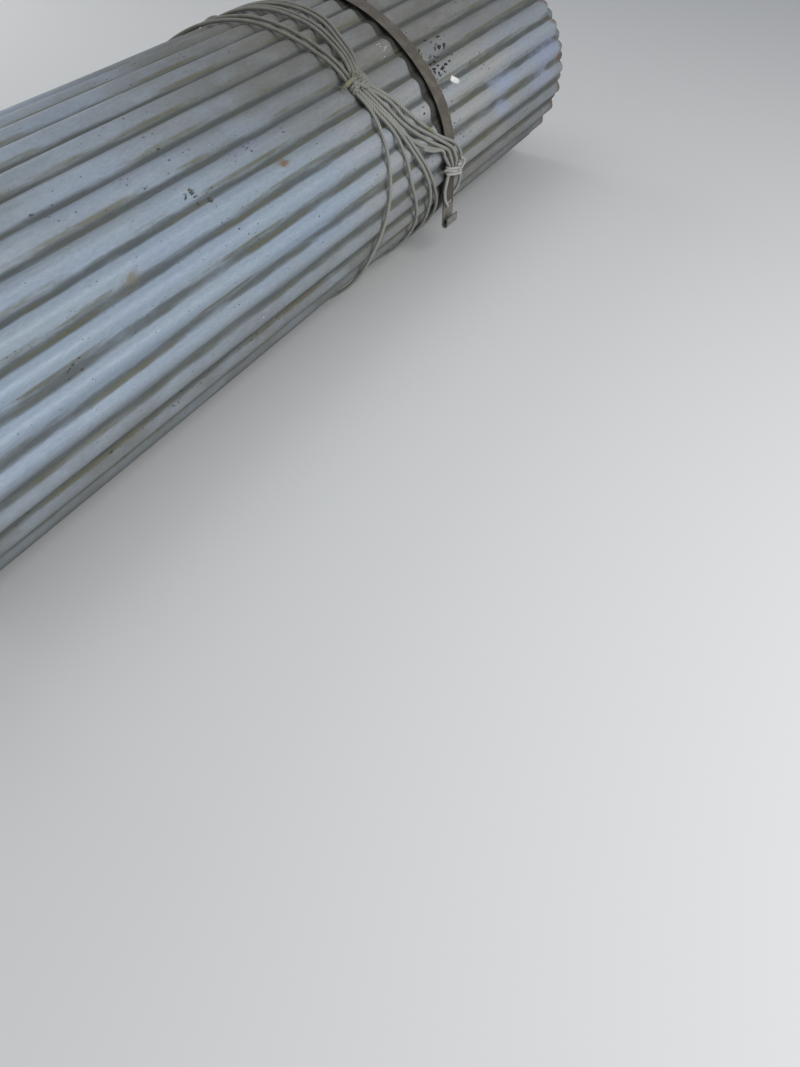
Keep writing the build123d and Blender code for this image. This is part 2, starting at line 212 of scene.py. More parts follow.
def path_frames(path: Array, across: Array) -> tuple[Array, Array]:
    """Return the directions across a line and square to it.

    Where one direction is given, each station keeps the last one's, less its part along the line, so
    that nothing twists. Where each station has its own, that is used, less its part along the line.

    Args:
        path: The stations of the line.
        across: The across direction at the first station, or at each one.

    Returns:
        The across directions and the directions square to both.
    """
    ahead = unit(np.gradient(path, axis=0))
    if across.ndim == 2:
        side = unit(across - ahead * (across * ahead).sum(axis=1, keepdims=True))
        return side, np.cross(ahead, side)

    def carry(last: Array, tangent: Array) -> Array:
        """Return the across direction at the next station."""
        return unit(last - tangent * last.dot(tangent))

    carried = np.array(list(accumulate(chain([across], ahead), carry)))[1:]
    return carried, np.cross(ahead, carried)


def placed(name: str, data: bpy.types.ID, place: Place = (0.0, 0.0, 0.0)) -> bpy.types.Object:
    """Return a new object in the scene.

    Args:
        name: The object's name.
        data: Its mesh, lamp or camera.
        place: Where it stands.

    Returns:
        The object.
    """
    thing = bpy.data.objects.new(name, data)
    thing.location = place
    bpy.context.scene.collection.objects.link(thing)
    return thing


@dataclass
class MeshDraft:
    """The points, faces, map and point values that a piece is gathered in before it becomes a mesh."""

    points: list[Array] = field(default_factory=list)
    faces: list[list[int]] = field(default_factory=list)
    corners: list[Array] = field(default_factory=list)
    values: dict[str, list[Array]] = field(default_factory=dict)
    count: int = 0

    def add(self, points: Array, faces: list[Indices], corners: Array, values: dict[str, Array]) -> None:
        """Add one surface.

        Args:
            points: The vertices, one a row.
            faces: Arrays with a face's vertex numbers in each row, counted from this surface's first vertex.
            corners: The map's coordinates, one for each corner of the faces in order.
            values: A number for each vertex, by the attribute's name.
        """
        self.points.append(points)
        for rows in faces:
            self.faces.extend((rows + self.count).tolist())
        self.corners.append(corners)
        for name, numbers in values.items():
            self.values.setdefault(name, []).append(numbers)
        self.count += len(points)

    def carry(self, path: Array, across: Array, profile: Array, values: dict[str, Array]) -> None:
        """Add a profile carried along a line, with both ends closed.

        A vertex lies at the station, plus the profile's first coordinate across and its second outwards.

        Args:
            path: The stations of the line.
            across: The across direction at the first station, or at each one.
            profile: Plane points, anticlockwise seen from the line's end, one row for each station.
            values: A number for each station and profile point, by the attribute's name.
        """
        side, outward = path_frames(path, across)
        points = path[:, None] + profile[..., :1] * side[:, None] + profile[..., 1:] * outward[:, None]
        rows, columns = points.shape[:2]
        travelled = travel(path)
        around = np.arange(columns) / columns
        left, start = np.meshgrid(around, travelled[:-1])
        right, end = np.meshgrid(around + 1.0 / columns, travelled[1:])
        corners = np.stack([left, start, right, start, right, end, left, end], axis=-1).reshape(-1, 2)
        first = np.arange(columns)[None, ::-1]
        last = np.arange((rows - 1) * columns, rows * columns)[None, :]
        self.add(
            points.reshape(-1, 3),
            [grid_quads(rows, columns, closed=True), first, last],
            np.concatenate([corners, np.zeros((2 * columns, 2))]),
            {name: numbers.ravel() for name, numbers in values.items()},
        )

    def piece(self, name: str, sharp_degrees: float = 180.0) -> bpy.types.Object:
        """Return the finished object, smooth except where its faces meet sharply.

        Args:
            name: The object's name.
            sharp_degrees: The angle between faces past which their edge is sharp.

        Returns:
            The object, at the origin.
        """
        mesh = bpy.data.meshes.new(name)
        mesh.from_pydata(np.concatenate(self.points).tolist(), [], self.faces)
        layer = mesh.uv_layers.new(name="surface")
        layer.data.foreach_set("uv", np.concatenate(self.corners).ravel().astype(np.float32))
        for label, numbers in self.values.items():
            attribute = mesh.attributes.new(label, "FLOAT", "POINT")
            attribute.data.foreach_set("value", np.concatenate(numbers).astype(np.float32))
        mesh.polygons.foreach_set("use_smooth", np.ones(len(mesh.polygons), dtype=bool))
        if sharp_degrees < 180.0:
            mesh.set_sharp_from_angle(angle=math.radians(sharp_degrees))
        mesh.update()
        return placed(name, mesh)


@dataclass(frozen=True)
class RollSection:
    """The line that the sheet is bent along, seen along X, and the waves that ride on it."""

    wave_pitch: float = 0.0762
    wave_depth: float = 0.018
    bend_share: float = 0.85
    wave_count: int = 58
    thickness: float = 0.0005
    roll_width: float = 1.010
    roll_height: float = 0.724
    side_radius_share: float = 0.449
    turn_step: float = 0.022
    edge_before_bottom: float = 0.652
    outer_crests: int = 36
    table_reach: float = 1.1
    table_steps: int = 12000

    @cached_property
    def mean_floor(self) -> float:
        """Return the height of the mean line's flat underside."""
        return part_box("corrugated_sheet")[0].z + (self.wave_depth + self.thickness) / 2

    @cached_property
    def widest_height(self) -> float:
        """Return the height at which the roll is widest."""
        return self.mean_floor + self.side_radius_share * self.roll_height

    @cached_property
    def stretches(self) -> tuple[Array, Array]:
        """Return the stretches of the mean line, from its underside round the visible side.

        Half of the flat underside, a side's arc, the top's flatter arc, and the first two again.

        Returns:
            The lengths and the curvatures of the stretches.
        """
        side = self.side_radius_share * self.roll_height
        half_flat = self.roll_width / 2 - side
        head = self.roll_height - side
        top = (half_flat**2 + head**2 - side**2) / (2 * (head - side))
        top_half_turn = math.atan2(half_flat, top - head)
        side_length = side * (math.pi - top_half_turn)
        lengths = np.array([half_flat, side_length, 2 * top * top_half_turn, side_length, half_flat])
        return lengths, np.array([0.0, 1 / side, 1 / top, 1 / side, 0.0])

    @cached_property
    def length_round(self) -> float:
        """Return the length of one turn of the mean line."""
        return float(self.stretches[0].sum())

    @cached_property
    def bend(self) -> tuple[float, float]:
        """Return the size of a bend, whose arcs meet a straight flank without a corner.

        Returns:
            The radius of a bend and the half-width of its arc along the mean line.
        """
        half_pitch = self.wave_pitch / 2
        radius = self.bend_share * (half_pitch**2 + self.wave_depth**2) / (4 * self.wave_depth)
        rise = 2 * radius - self.wave_depth
        lean = math.atan2(rise, half_pitch) + math.acos(2 * radius / math.hypot(half_pitch, rise))
        return radius, radius * math.cos(lean)

    def mean_line(self, distance: Array) -> tuple[Array, Array, Array]:
        """Return the mean line's points, outward normals and curvatures.

        On each stretch the chord from its start has length run * sin(t/2)/(t/2) and turns by t/2,
        where t is the curvature times the run.

        Args:
            distance: Distances along the line.

        Returns:
            The plane points, the plane normals and the curvatures.
        """
        lengths, curvatures = self.stretches
        turns = lengths * curvatures
        starts, turned = (np.concatenate([[0.0], np.cumsum(part)[:-1]]) for part in (lengths, turns))
        headings = math.pi - turned

        def chord(run: Array, turn: Array, heading: Array) -> Array:
            """Return the vector from the start of a stretch to a point on it.

            Args:
                run: The distance from the stretch's start.
                turn: The angle that the line turns by on the way.
                heading: The direction in which the stretch starts.

            Returns:
                The plane vectors.
            """
            reach = run * np.sinc(turn / (2 * math.pi))
            middle = heading - turn / 2
            return np.stack([reach * np.cos(middle), reach * np.sin(middle)], axis=-1)

        steps = np.cumsum(chord(lengths, turns, headings), axis=0)
        corners = np.array([0.0, self.mean_floor]) + np.concatenate([[[0.0, 0.0]], steps[:-1]])
        along = np.mod(distance, self.length_round)
        index = np.clip(np.searchsorted(starts, along, side="right") - 1, 0, len(lengths) - 1)
        run = along - starts[index]
        turn = run * curvatures[index]
        points = corners[index] + chord(run, turn, headings[index])
        outward = headings[index] - turn + math.pi / 2
        return points, np.stack([np.cos(outward), np.sin(outward)], axis=-1), curvatures[index]

    def inset(self, distance: Array) -> Array:
        """Return how far inside the outer turn the sheet lies, as it moves in down the hidden side.

        Args:
            distance: Distances along the mean line.

        Returns:
            One step for each whole turn, and the share of a step since the line left the top.
        """
        turns, within = np.divmod(distance + self.edge_before_bottom, self.length_round)
        leaving = self.length_round / 2 + self.edge_before_bottom
        moved = np.maximum(0.0, within - leaving) / (self.length_round - leaving)
        return self.turn_step * (turns + moved)

    @cached_property
    def wave_table(self) -> tuple[Array, Array]:
        """Return how waves match distances, where each wave takes one pitch of the inset line.

        Returns:
            The waves and the distances along the mean line.
        """
        reach = self.wave_count * self.wave_pitch * self.table_reach
        distance = np.linspace(0.0, reach, self.table_steps + 1) - self.edge_before_bottom
        rate = (1.0 - self.inset(distance) * self.mean_line(distance)[2]) / self.wave_pitch
        steps = (rate[1:] + rate[:-1]) / 2 * np.diff(distance)
        return np.concatenate([[0.0], np.cumsum(steps)]), distance

    def distance_of(self, wave: Array) -> Array:
        """Return the distance along the mean line of waves counted from the outer edge."""
        return np.interp(wave, *self.wave_table)

    def height(self, wave: Array) -> Array:
        """Return the height of the waves over the mean line.

        A crest is an arc, a valley is the same arc upside down, and a straight flank joins them.

        Args:
            wave: Waves counted from the outer edge, with a crest at each whole number.

        Returns:
            The heights.
        """
        radius, half_arc = self.bend
        centre = self.wave_depth / 2 - radius
        from_crest = self.wave_pitch * (0.5 - np.abs(np.mod(wave, 1.0) - 0.5))
        from_valley = self.wave_pitch / 2 - from_crest
        crest = centre + np.sqrt(radius**2 - np.minimum(from_crest, half_arc) ** 2)
        valley = -centre - np.sqrt(radius**2 - np.minimum(from_valley, half_arc) ** 2)
        flank = np.clip((from_crest - half_arc) / (self.wave_pitch / 2 - 2 * half_arc), 0.0, 1.0)
        bent = np.where(from_crest < half_arc, crest, valley)
        on_flank = (from_crest >= half_arc) & (from_valley >= half_arc)
        return np.where(on_flank, crest + (valley - crest) * flank, bent)

    def place(self, wave: Array, lift: Array | float) -> Array:
        """Return plane points at a height over the mean line of the sheet.

        Args:
            wave: Waves counted from the outer edge.
            lift: The height.

        Returns:
            The plane points.
        """
        distance = self.distance_of(wave)
        points, normals, _ = self.mean_line(distance)
        return points + normals * (lift - self.inset(distance))[..., None]


@dataclass(frozen=True)
class TiePlan:
    """Where the strap and the rope lie on the roll."""

    section: RollSection
    knot_from_far_end: float = 1.278
    knot_height: float = 0.634
    knot_lane: float = 0.0104
    strap_slant: float = 0.14
    strap_thickness: float = 0.0025
    slot_below_widest: float = 0.139

    @cached_property
    def strap_x(self) -> float:
        """Return the middle of the strap's loose end along X."""
        low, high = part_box("strap_hook")
        return (low.x + high.x) / 2

    @cached_property
    def strap_front(self) -> float:
        """Return the Y of the outer face of the strap's loose end."""
        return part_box("webbing_strap")[0].y

    @cached_property
    def slot_height(self) -> float:
        """Return the height of the middle of the hook's slot."""
        return self.section.widest_height - self.slot_below_widest

    @cached_property
    def knot_x(self) -> float:
        """Return the middle of the knot along X."""
        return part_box("corrugated_sheet")[1].x - self.knot_from_far_end

    @cached_property
    def knot_wave(self) -> int:
        """Return the crest on the visible side that carries the knot.

        Returns:
            The crest's wave.
        """
        crests = np.arange(self.section.outer_crests, dtype=float)
        tops = self.section.place(crests, self.section.wave_depth / 2)
        return int(np.argmin(np.abs(tops[:, 1] - self.knot_height) + (tops[:, 0] > 0)))

    def band_x(self, y: Array) -> Array:
        """Return the place along X of the strap's middle, which leans to the far end over the roll."""
        return self.strap_x + self.strap_slant * (y - self.strap_front - self.strap_thickness)

    def course_x(self, course: Course, lane: float, share: Array) -> Array:
        """Return a rope's places along X.

        Args:
            course: Its shares of the way round and shifts in pitches.
            lane: Its place in the knot, in strands from the knot's middle.
            share: The shares of the way round to read.

        Returns:
            The places.
        """
        shares, shifts = np.array(course).T
        shifted = self.section.wave_pitch * np.interp(share, shares, shifts)
        return self.knot_x + lane * self.knot_lane + shifted

    def turn_lane(self, number: int) -> float:
        """Return the place in the knot of one of the rope's turns, in strands from its middle."""
        return number - len(ROPE_TURNS) + 0.5

    def turn_x(self, number: int, share: Array) -> Array:
        """Return the places along X of one of the rope's turns."""
        return self.course_x(ROPE_TURNS[number], self.turn_lane(number), share)


@dataclass(frozen=True)
class Dent:
    """A groove that a tie presses into the crests, with a steep wall on the side it was dragged from."""

    steep: Span
    easy: Span
    strength: float

    def depth(self, x: Array) -> Array:
        """Return how far it falls at places along X, from 0 beside it to 1 between its walls."""
        return plateau(x, self.steep, self.easy)


@dataclass
class CorrugatedSheet:
    """The sheet itself: one spiral of waves, pressed in under its ties, with its turns slipped endways."""

    section: RollSection
    ties: TiePlan
    slip: float = 0.048
    rim_wander: float = 0.0022
    rim_waves: float = 23.0
    ragged_from: float = 1.3
    half_length: float = 1.5
    waviness: float = 0.0012
    slow_sines: int = 6
    sines_along: Span = (1.2, 5.5)
    sines_around: Span = (-9.0, 9.0)
    sunk_share: float = 0.8
    rim_steps: tuple[float, ...] = (0.0, 0.003, 0.014, 0.045)
    rope_from: float = -0.005
    strap_from: float = 0.480
    strap_to: float = 0.745
    rope_spacing: float = 0.0125
    strap_spacing: float = 0.0078
    open_spacing: float = 0.125
    open_after_rim: float = 0.12
    open_after_strap: float = 0.02
    open_before_rim: float = 0.07
    under_strap: Dent = Dent((-0.066, -0.045), (-0.004, 0.024), 0.92)
    under_rope: Dent = Dent((-0.034, -0.010), (0.004, 0.030), 0.20)
    between_ropes: float = 0.10
    between_fades: Span = (0.02, 0.03)
    dent_strengths: Span = (0.62, 1.0)
    dent_wander: float = 0.006
    taut_waves: Span = (17.0, 18.6)
    slack: float = 0.25
    inner_turns: float = 0.25
    seed: int = 7

    def stations(self, start: float, end: float) -> Array:
        """Return the places along X: close at the rims and under the ties, and wide elsewhere.

        Args:
            start: The sheet's near rim.
            end: Its far rim.

        Returns:
            The places.
        """
        rim = np.array(self.rim_steps)
        left = np.arange(start + self.open_after_rim, self.rope_from, self.open_spacing)
        roped = np.arange(self.rope_from, self.strap_from, self.rope_spacing)
        strapped = np.arange(self.strap_from, self.strap_to, self.strap_spacing)
        last = end - self.open_before_rim
        right = np.arange(self.strap_to + self.open_after_strap, last, self.open_spacing)
        return np.concatenate([start + rim, left, roped, strapped, right, end - rim[::-1]])

    def wave_samples(self) -> Array:
        """Return where the profile is sampled, with fewer points on the hidden inner turn.

        Returns:
            The waves, from the outer edge to the inner one.
        """
        half_arc = self.section.bend[1] / self.section.wave_pitch
        fine = np.array([0.0, half_arc / 2, half_arc, 0.5 - half_arc, 0.5 - half_arc / 2])
        coarse = np.array([0.0, half_arc, 0.5 - half_arc])

        def repeat(offsets: Array, first: int, last: int) -> Array:
            """Return the offsets over both halves of each wave from first to last."""
            both = np.unique(np.concatenate([offsets, 1.0 - offsets[1:], [0.5]]))
            return (np.arange(first, last)[:, None] + both[None, :]).ravel()

        change = self.section.outer_crests + 2
        last = self.section.wave_count
        return np.concatenate([repeat(fine, 0, change), repeat(coarse, change, last), [float(last)]])

    def pressed(self, wave: Array, x: Array) -> Array:
        """Return the share of each crest that is pressed down under the strap and the rope.

        Args:
            wave: Waves, one a row.
            x: Places along X, where the sheet lies after its turns have slipped.

        Returns:
            The shares, from 0 to 1.
        """
        random = np.random.default_rng(self.seed)
        crest = np.rint(wave).astype(int)
        crests = self.section.wave_count + 1
        strength = random.uniform(*self.dent_strengths, crests)[crest]
        wander = random.uniform(-self.dent_wander, self.dent_wander, crests)[crest]
        count = self.section.outer_crests
        band = self.ties.band_x(self.section.place(wave, np.zeros_like(wave))[..., 0])
        share = np.mod(self.ties.knot_wave - wave, count) / count
        places = np.stack([self.ties.turn_x(number, share) for number in range(len(ROPE_TURNS))])
        low, high = places.min(axis=0), places.max(axis=0)
        before, after = self.between_fades
        between = self.between_ropes * plateau(x, (low - before, low), (high, high + after))
        dents = [self.under_rope.depth(x - place - wander) for place in places]
        roped = self.under_rope.strength * np.max(dents, axis=0)
        taut = self.slack + (1.0 - self.slack) * smooth_step(wave, *self.taut_waves)
        strapped = self.under_strap.strength * taut * strength * self.under_strap.depth(x - band - wander)
        outer = np.where(wave <= count + 0.5, 1.0, self.inner_turns)
        return outer * np.maximum(strapped, strength * np.maximum(roped, between))

    def slow_waves(self, x: Array, distance: Array) -> Array:
        """Return the slow bends of the whole sheet, the mean of a few sines along and around it.

        Args:
            x: Places along X.
            distance: Distances along the mean line.

        Returns:
            The bends, from -1 to 1.
        """
        random = np.random.default_rng(self.seed)
        rates = [random.uniform(*span, self.slow_sines) for span in (self.sines_along, self.sines_around)]
        sines = zip(*rates, random.uniform(0.0, 6.28, self.slow_sines))
        bends = [np.sin(x * along + distance * around + phase) for along, around, phase in sines]
        return sum(bends) / self.slow_sines

    def build(self) -> bpy.types.Object:
        """Return the sheet as a closed shell.

        A vertex lies on the spiral at its wave, raised by the wave's height less what the ties press
        down and by slow sines, and half the sheet's thickness to its own side.

        Returns:
            The sheet.
        """
        low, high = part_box("corrugated_sheet")
        x = self.stations(low.x, high.x)[None, :]
        wave = self.wave_samples()[:, None]
        distance = self.section.distance_of(wave)
        points, normals, _ = self.section.mean_line(distance)
        height = self.section.height(wave)
        inset = self.section.inset(distance)
        inward = np.clip(inset / self.section.turn_step, 0.0, 1.0)
        at_rims = smooth_step(np.abs(x), self.ragged_from, self.half_length)
        ragged = self.rim_wander * np.sin(distance * self.rim_waves + 1.0) * at_rims
        shift = self.slip * (inward - smooth_step(x, -self.half_length, self.half_length))
        along = x + shift - np.abs(ragged) * np.sign(x)
        pressed = self.pressed(wave, along)
        sunk = pressed * (height + self.section.wave_depth / 2) * self.sunk_share
        lift = height - sunk - inset + self.waviness * self.slow_waves(x, distance)
        middle = np.concatenate([along[..., None], points + normals * lift[..., None]], axis=-1)
        slope = np.gradient(middle, axis=0)
        facing = unit(np.cross(np.broadcast_to(ALONG, slope.shape), slope))
        facing = facing * np.sign((facing[..., 1:] * normals).sum(axis=-1, keepdims=True))
        half = facing * self.section.thickness / 2
        faces = shell_quads(*along.shape)
        flat = np.stack([along, np.broadcast_to(distance, along.shape)], axis=-1).reshape(-1, 2)
        level = np.broadcast_to(height / (self.section.wave_depth / 2), along.shape).ravel()
        both_sides = {"inner": inward, "rising": np.sin(2 * math.pi * wave), "pressed": pressed}
        values = {
            name: np.tile(np.broadcast_to(part, along.shape).ravel(), 2) for name, part in both_sides.items()
        }
        draft = MeshDraft()
        draft.add(
            np.concatenate([(middle + half).reshape(-1, 3), (middle - half).reshape(-1, 3)]),
            [faces],
            np.tile(flat, (2, 1))[faces.ravel()],
            {"level": np.concatenate([level, -level]), **values},
        )
        return draft.piece("sheet_skin", sharp_degrees=60.0)


@dataclass(frozen=True)
class Signal:
    """A socket of a node tree, with the sums that the finishes make of it, each a node of its own."""

    bench: "NodeBench"
    socket: bpy.types.NodeSocket

    def __add__(self, other: object) -> "Signal":
        """Return the sum."""
        return self.bench.maths("ADD", self, other)

    def __sub__(self, other: object) -> "Signal":
        """Return the difference."""
        return self.bench.maths("SUBTRACT", self, other)

    def __rsub__(self, other: object) -> "Signal":
        """Return the difference from a number."""
        return self.bench.maths("SUBTRACT", other, self)

    def __mul__(self, other: object) -> "Signal":
        """Return the product."""
        return self.bench.maths("MULTIPLY", self, other)

    def __truediv__(self, other: object) -> "Signal":
        """Return the quotient."""
        return self.bench.maths("DIVIDE", self, other)

    def higher(self, other: object) -> "Signal":
        """Return the higher of two values."""
        return self.bench.maths("MAXIMUM", self, other)

    def below(self, other: object) -> "Signal":
        """Return 1 where this is less than the other value."""
        return self.bench.maths("LESS_THAN", self, other)

    def rise(self, low: object, high: object) -> "Signal":
        """Return this value smoothly mapped from low and high to 0 and 1."""
        inputs = {"Value": self, "From Min": low, "From Max": high}
        return self.bench.out("MapRange", inputs, "Result", interpolation_type="SMOOTHSTEP")

    def toward(self, colour: Colour, share: "Signal") -> "Signal":
        """Return this colour blended towards another by a share."""
        return self.bench.blend(share, self, colour)


class NodeBench:
    """A node tree with short calls that add nodes and link them."""

    def __init__(self, tree: bpy.types.NodeTree) -> None:
        """Keep the tree that the nodes go into."""
        self.tree = tree

    def put(self, socket: bpy.types.NodeSocket, value: object) -> None:
        """Link a signal to an input, or set the input to a value.

        Args:
            socket: The input.
            value: The signal or the value, where a colour may lack its alpha.
        """
        if isinstance(value, Signal):
            self.tree.links.new(value.socket, socket)
        elif socket.type == "RGBA" and len(value) == 3:
            socket.default_value = (*value, 1.0)
        else:
            socket.default_value = value

    def out(
        self,
        kind: str,
        inputs: dict[str | int, object],
        output: str | int = 0,
        **settings: object,
    ) -> Signal:
        """Return an output of a new node.

        Args:
            kind: The node's type name, after its first word.
            inputs: Values or signals for its inputs, by name or number.
            output: The output's name or number.
            **settings: Properties of the node.

        Returns:
            The output.
        """
        node = self.tree.nodes.new("ShaderNode" + kind)
        for name, value in settings.items():
            setattr(node, name, value)
        for name, value in inputs.items():
            self.put(node.inputs[name], value)
        return Signal(self, node.outputs[output])

    def maths(self, operation: str, first: object, second: object) -> Signal:
        """Return the result of a sum on two numbers."""
        return self.out("Math", {0: first, 1: second}, operation=operation)

    def blend(self, share: Signal, first: object, second: object) -> Signal:
        """Return two colours blended by a share."""
        return self.out("Mix", {"Factor": share, 6: first, 7: second}, 2, data_type="RGBA")

    def noise(self, vector: Signal, scale: object, detail: float = 2.0, rough: float = 0.5) -> Signal:
        """Return smooth noise between 0 and 1."""
        return self.out("TexNoise", {"Vector": vector, "Scale": scale, "Detail": detail, "Roughness": rough})

    def stretched(self, vector: Signal, scale: Place) -> Signal:
        """Return coordinates scaled on each axis."""
        return self.out("Mapping", {"Vector": vector, "Scale": scale})


@dataclass(frozen=True)
class SharedEffects:
    """The shader groups that several finishes place with their own values."""

    def group(self, name: str, inputs: dict[str, str]) -> tuple[NodeBench, dict[str, Signal]]:
        """Return a bench for a new shader group that gives a mask.

        Args:
            name: The group's name.
            inputs: Socket kinds of its inputs, by name.

        Returns:
            The bench and the inputs' signals.
        """
        tree = bpy.data.node_groups.new(name, "ShaderNodeTree")
        for label, kind in inputs.items():
            tree.interface.new_socket(label, in_out="INPUT", socket_type=f"NodeSocket{kind}")
        tree.interface.new_socket("Mask", in_out="OUTPUT", socket_type="NodeSocketFloat")
        bench = NodeBench(tree)
        given = tree.nodes.new("NodeGroupInput").outputs
        return bench, {label: Signal(bench, given[label]) for label in inputs}

    def close(self, mask: Signal) -> bpy.types.NodeTree:
        """Return a group whose mask is done."""
        mask.bench.put(mask.bench.tree.nodes.new("NodeGroupOutput").inputs["Mask"], mask)
        return mask.bench.tree

    @cached_property
    def patches(self) -> bpy.types.NodeTree:
        """Return a group that gives soft-edged patches: noise cut between two levels.

        Returns:
            The group.
        """
        bench, given = self.group(
            "soft_patches", {"Vector": "Vector", "Scale": "Float", "Low": "Float", "High": "Float"})
        noise = bench.noise(given["Vector"], given["Scale"], 5.0, 0.6)
        return self.close(noise.rise(given["Low"], given["High"]))

    @cached_property
    def spot(self) -> bpy.types.NodeTree:
        """Return a group that gives one ragged spot: the distance to its middle, stirred by noise.

        Returns:
            The group.
        """
        kinds = {"Vector": "Vector", "Middle": "Vector", "Radius": "Float", "Core": "Float", "Stir": "Float"}
        bench, given = self.group("ragged_spot", kinds)
        stir = bench.noise(given["Vector"], given["Stir"], 6.0, 0.65)
        ends = {0: given["Vector"], 1: given["Middle"]}
        away = bench.out("VectorMath", ends, "Value", operation="DISTANCE")
        return self.close(1.0 - (away / given["Radius"] + (stir - 0.5) * 2.2).rise(given["Core"], 1.15))


class MaterialBench(NodeBench):
    """A material in the making, with the coordinates and masks that the finishes share."""

    def __init__(self, name: str, effects: SharedEffects) -> None:
        """Make the material.

        Args:
            name: The material's name.
            effects: The shared shader groups.
        """
        self.material = bpy.data.materials.new(name)
        self.material.use_nodes = True
        super().__init__(self.material.node_tree)
        self.effects = effects

    @cached_property
    def place(self) -> Signal:
        """Return the coordinates in the object's frame."""
        return self.out("TexCoord", {}, "Object")

    @cached_property
    def flat(self) -> Signal:
        """Return the coordinates on the piece's map."""
        return self.out("UVMap", {}, uv_map="surface")

    def axis(self, name: str) -> Signal:
        """Return one coordinate in the object's frame."""
        return self.out("SeparateXYZ", {0: self.place}, name)

    def attribute(self, name: str) -> Signal:
        """Return a number that the mesh carries at its points."""
        return self.out("Attribute", {}, "Fac", attribute_name=name)

    def patches(self, vector: Signal, scale: float, low: float, high: float) -> Signal:
        """Return soft-edged patches."""
        inputs = {"Vector": vector, "Scale": scale, "Low": low, "High": high}
        return self.out("Group", inputs, node_tree=self.effects.patches)

    def finished(
        self,
        surface: dict[str, object],
        relief: Signal,
        strength: float,
        distance: float,
    ) -> bpy.types.Material:
        """Return the material.

        Args:
            surface: Values or signals for the surface shader's inputs, by name.
            relief: The height of its fine relief.
            strength: How strongly that shows.
            distance: Its depth.

        Returns:
            The material, with its shader linked.
        """
        bump = self.out("Bump", {"Strength": strength, "Distance": distance, "Height": relief})
        for name, value in {**surface, "Normal": bump}.items():
            self.put(self.tree.nodes["Principled BSDF"].inputs[name], value)
        return self.material


@dataclass(frozen=True)
class Stain:
    """A spot on the sheet, placed by its distance along X and its wave."""

    x: float
    wave: float
    radius: float
    colour: Colour
    strength: float = 1.0
    core: float = 0.7
    stir: float = 70.0
    narrowed: float = 1.0
    crumbled: bool = False


@dataclass(frozen=True)
class Blotches:
    """Soft patches on the sheet: how narrow they are drawn, how many lie in a metre and where they fade."""

    narrowed: float
    scale: float
    low: float
    high: float

    def on(self, bench: MaterialBench) -> Signal:
        """Return their mask."""
        drawn = bench.stretched(bench.flat, (1.0, self.narrowed, 1.0))
        return bench.patches(drawn, self.scale, self.low, self.high)


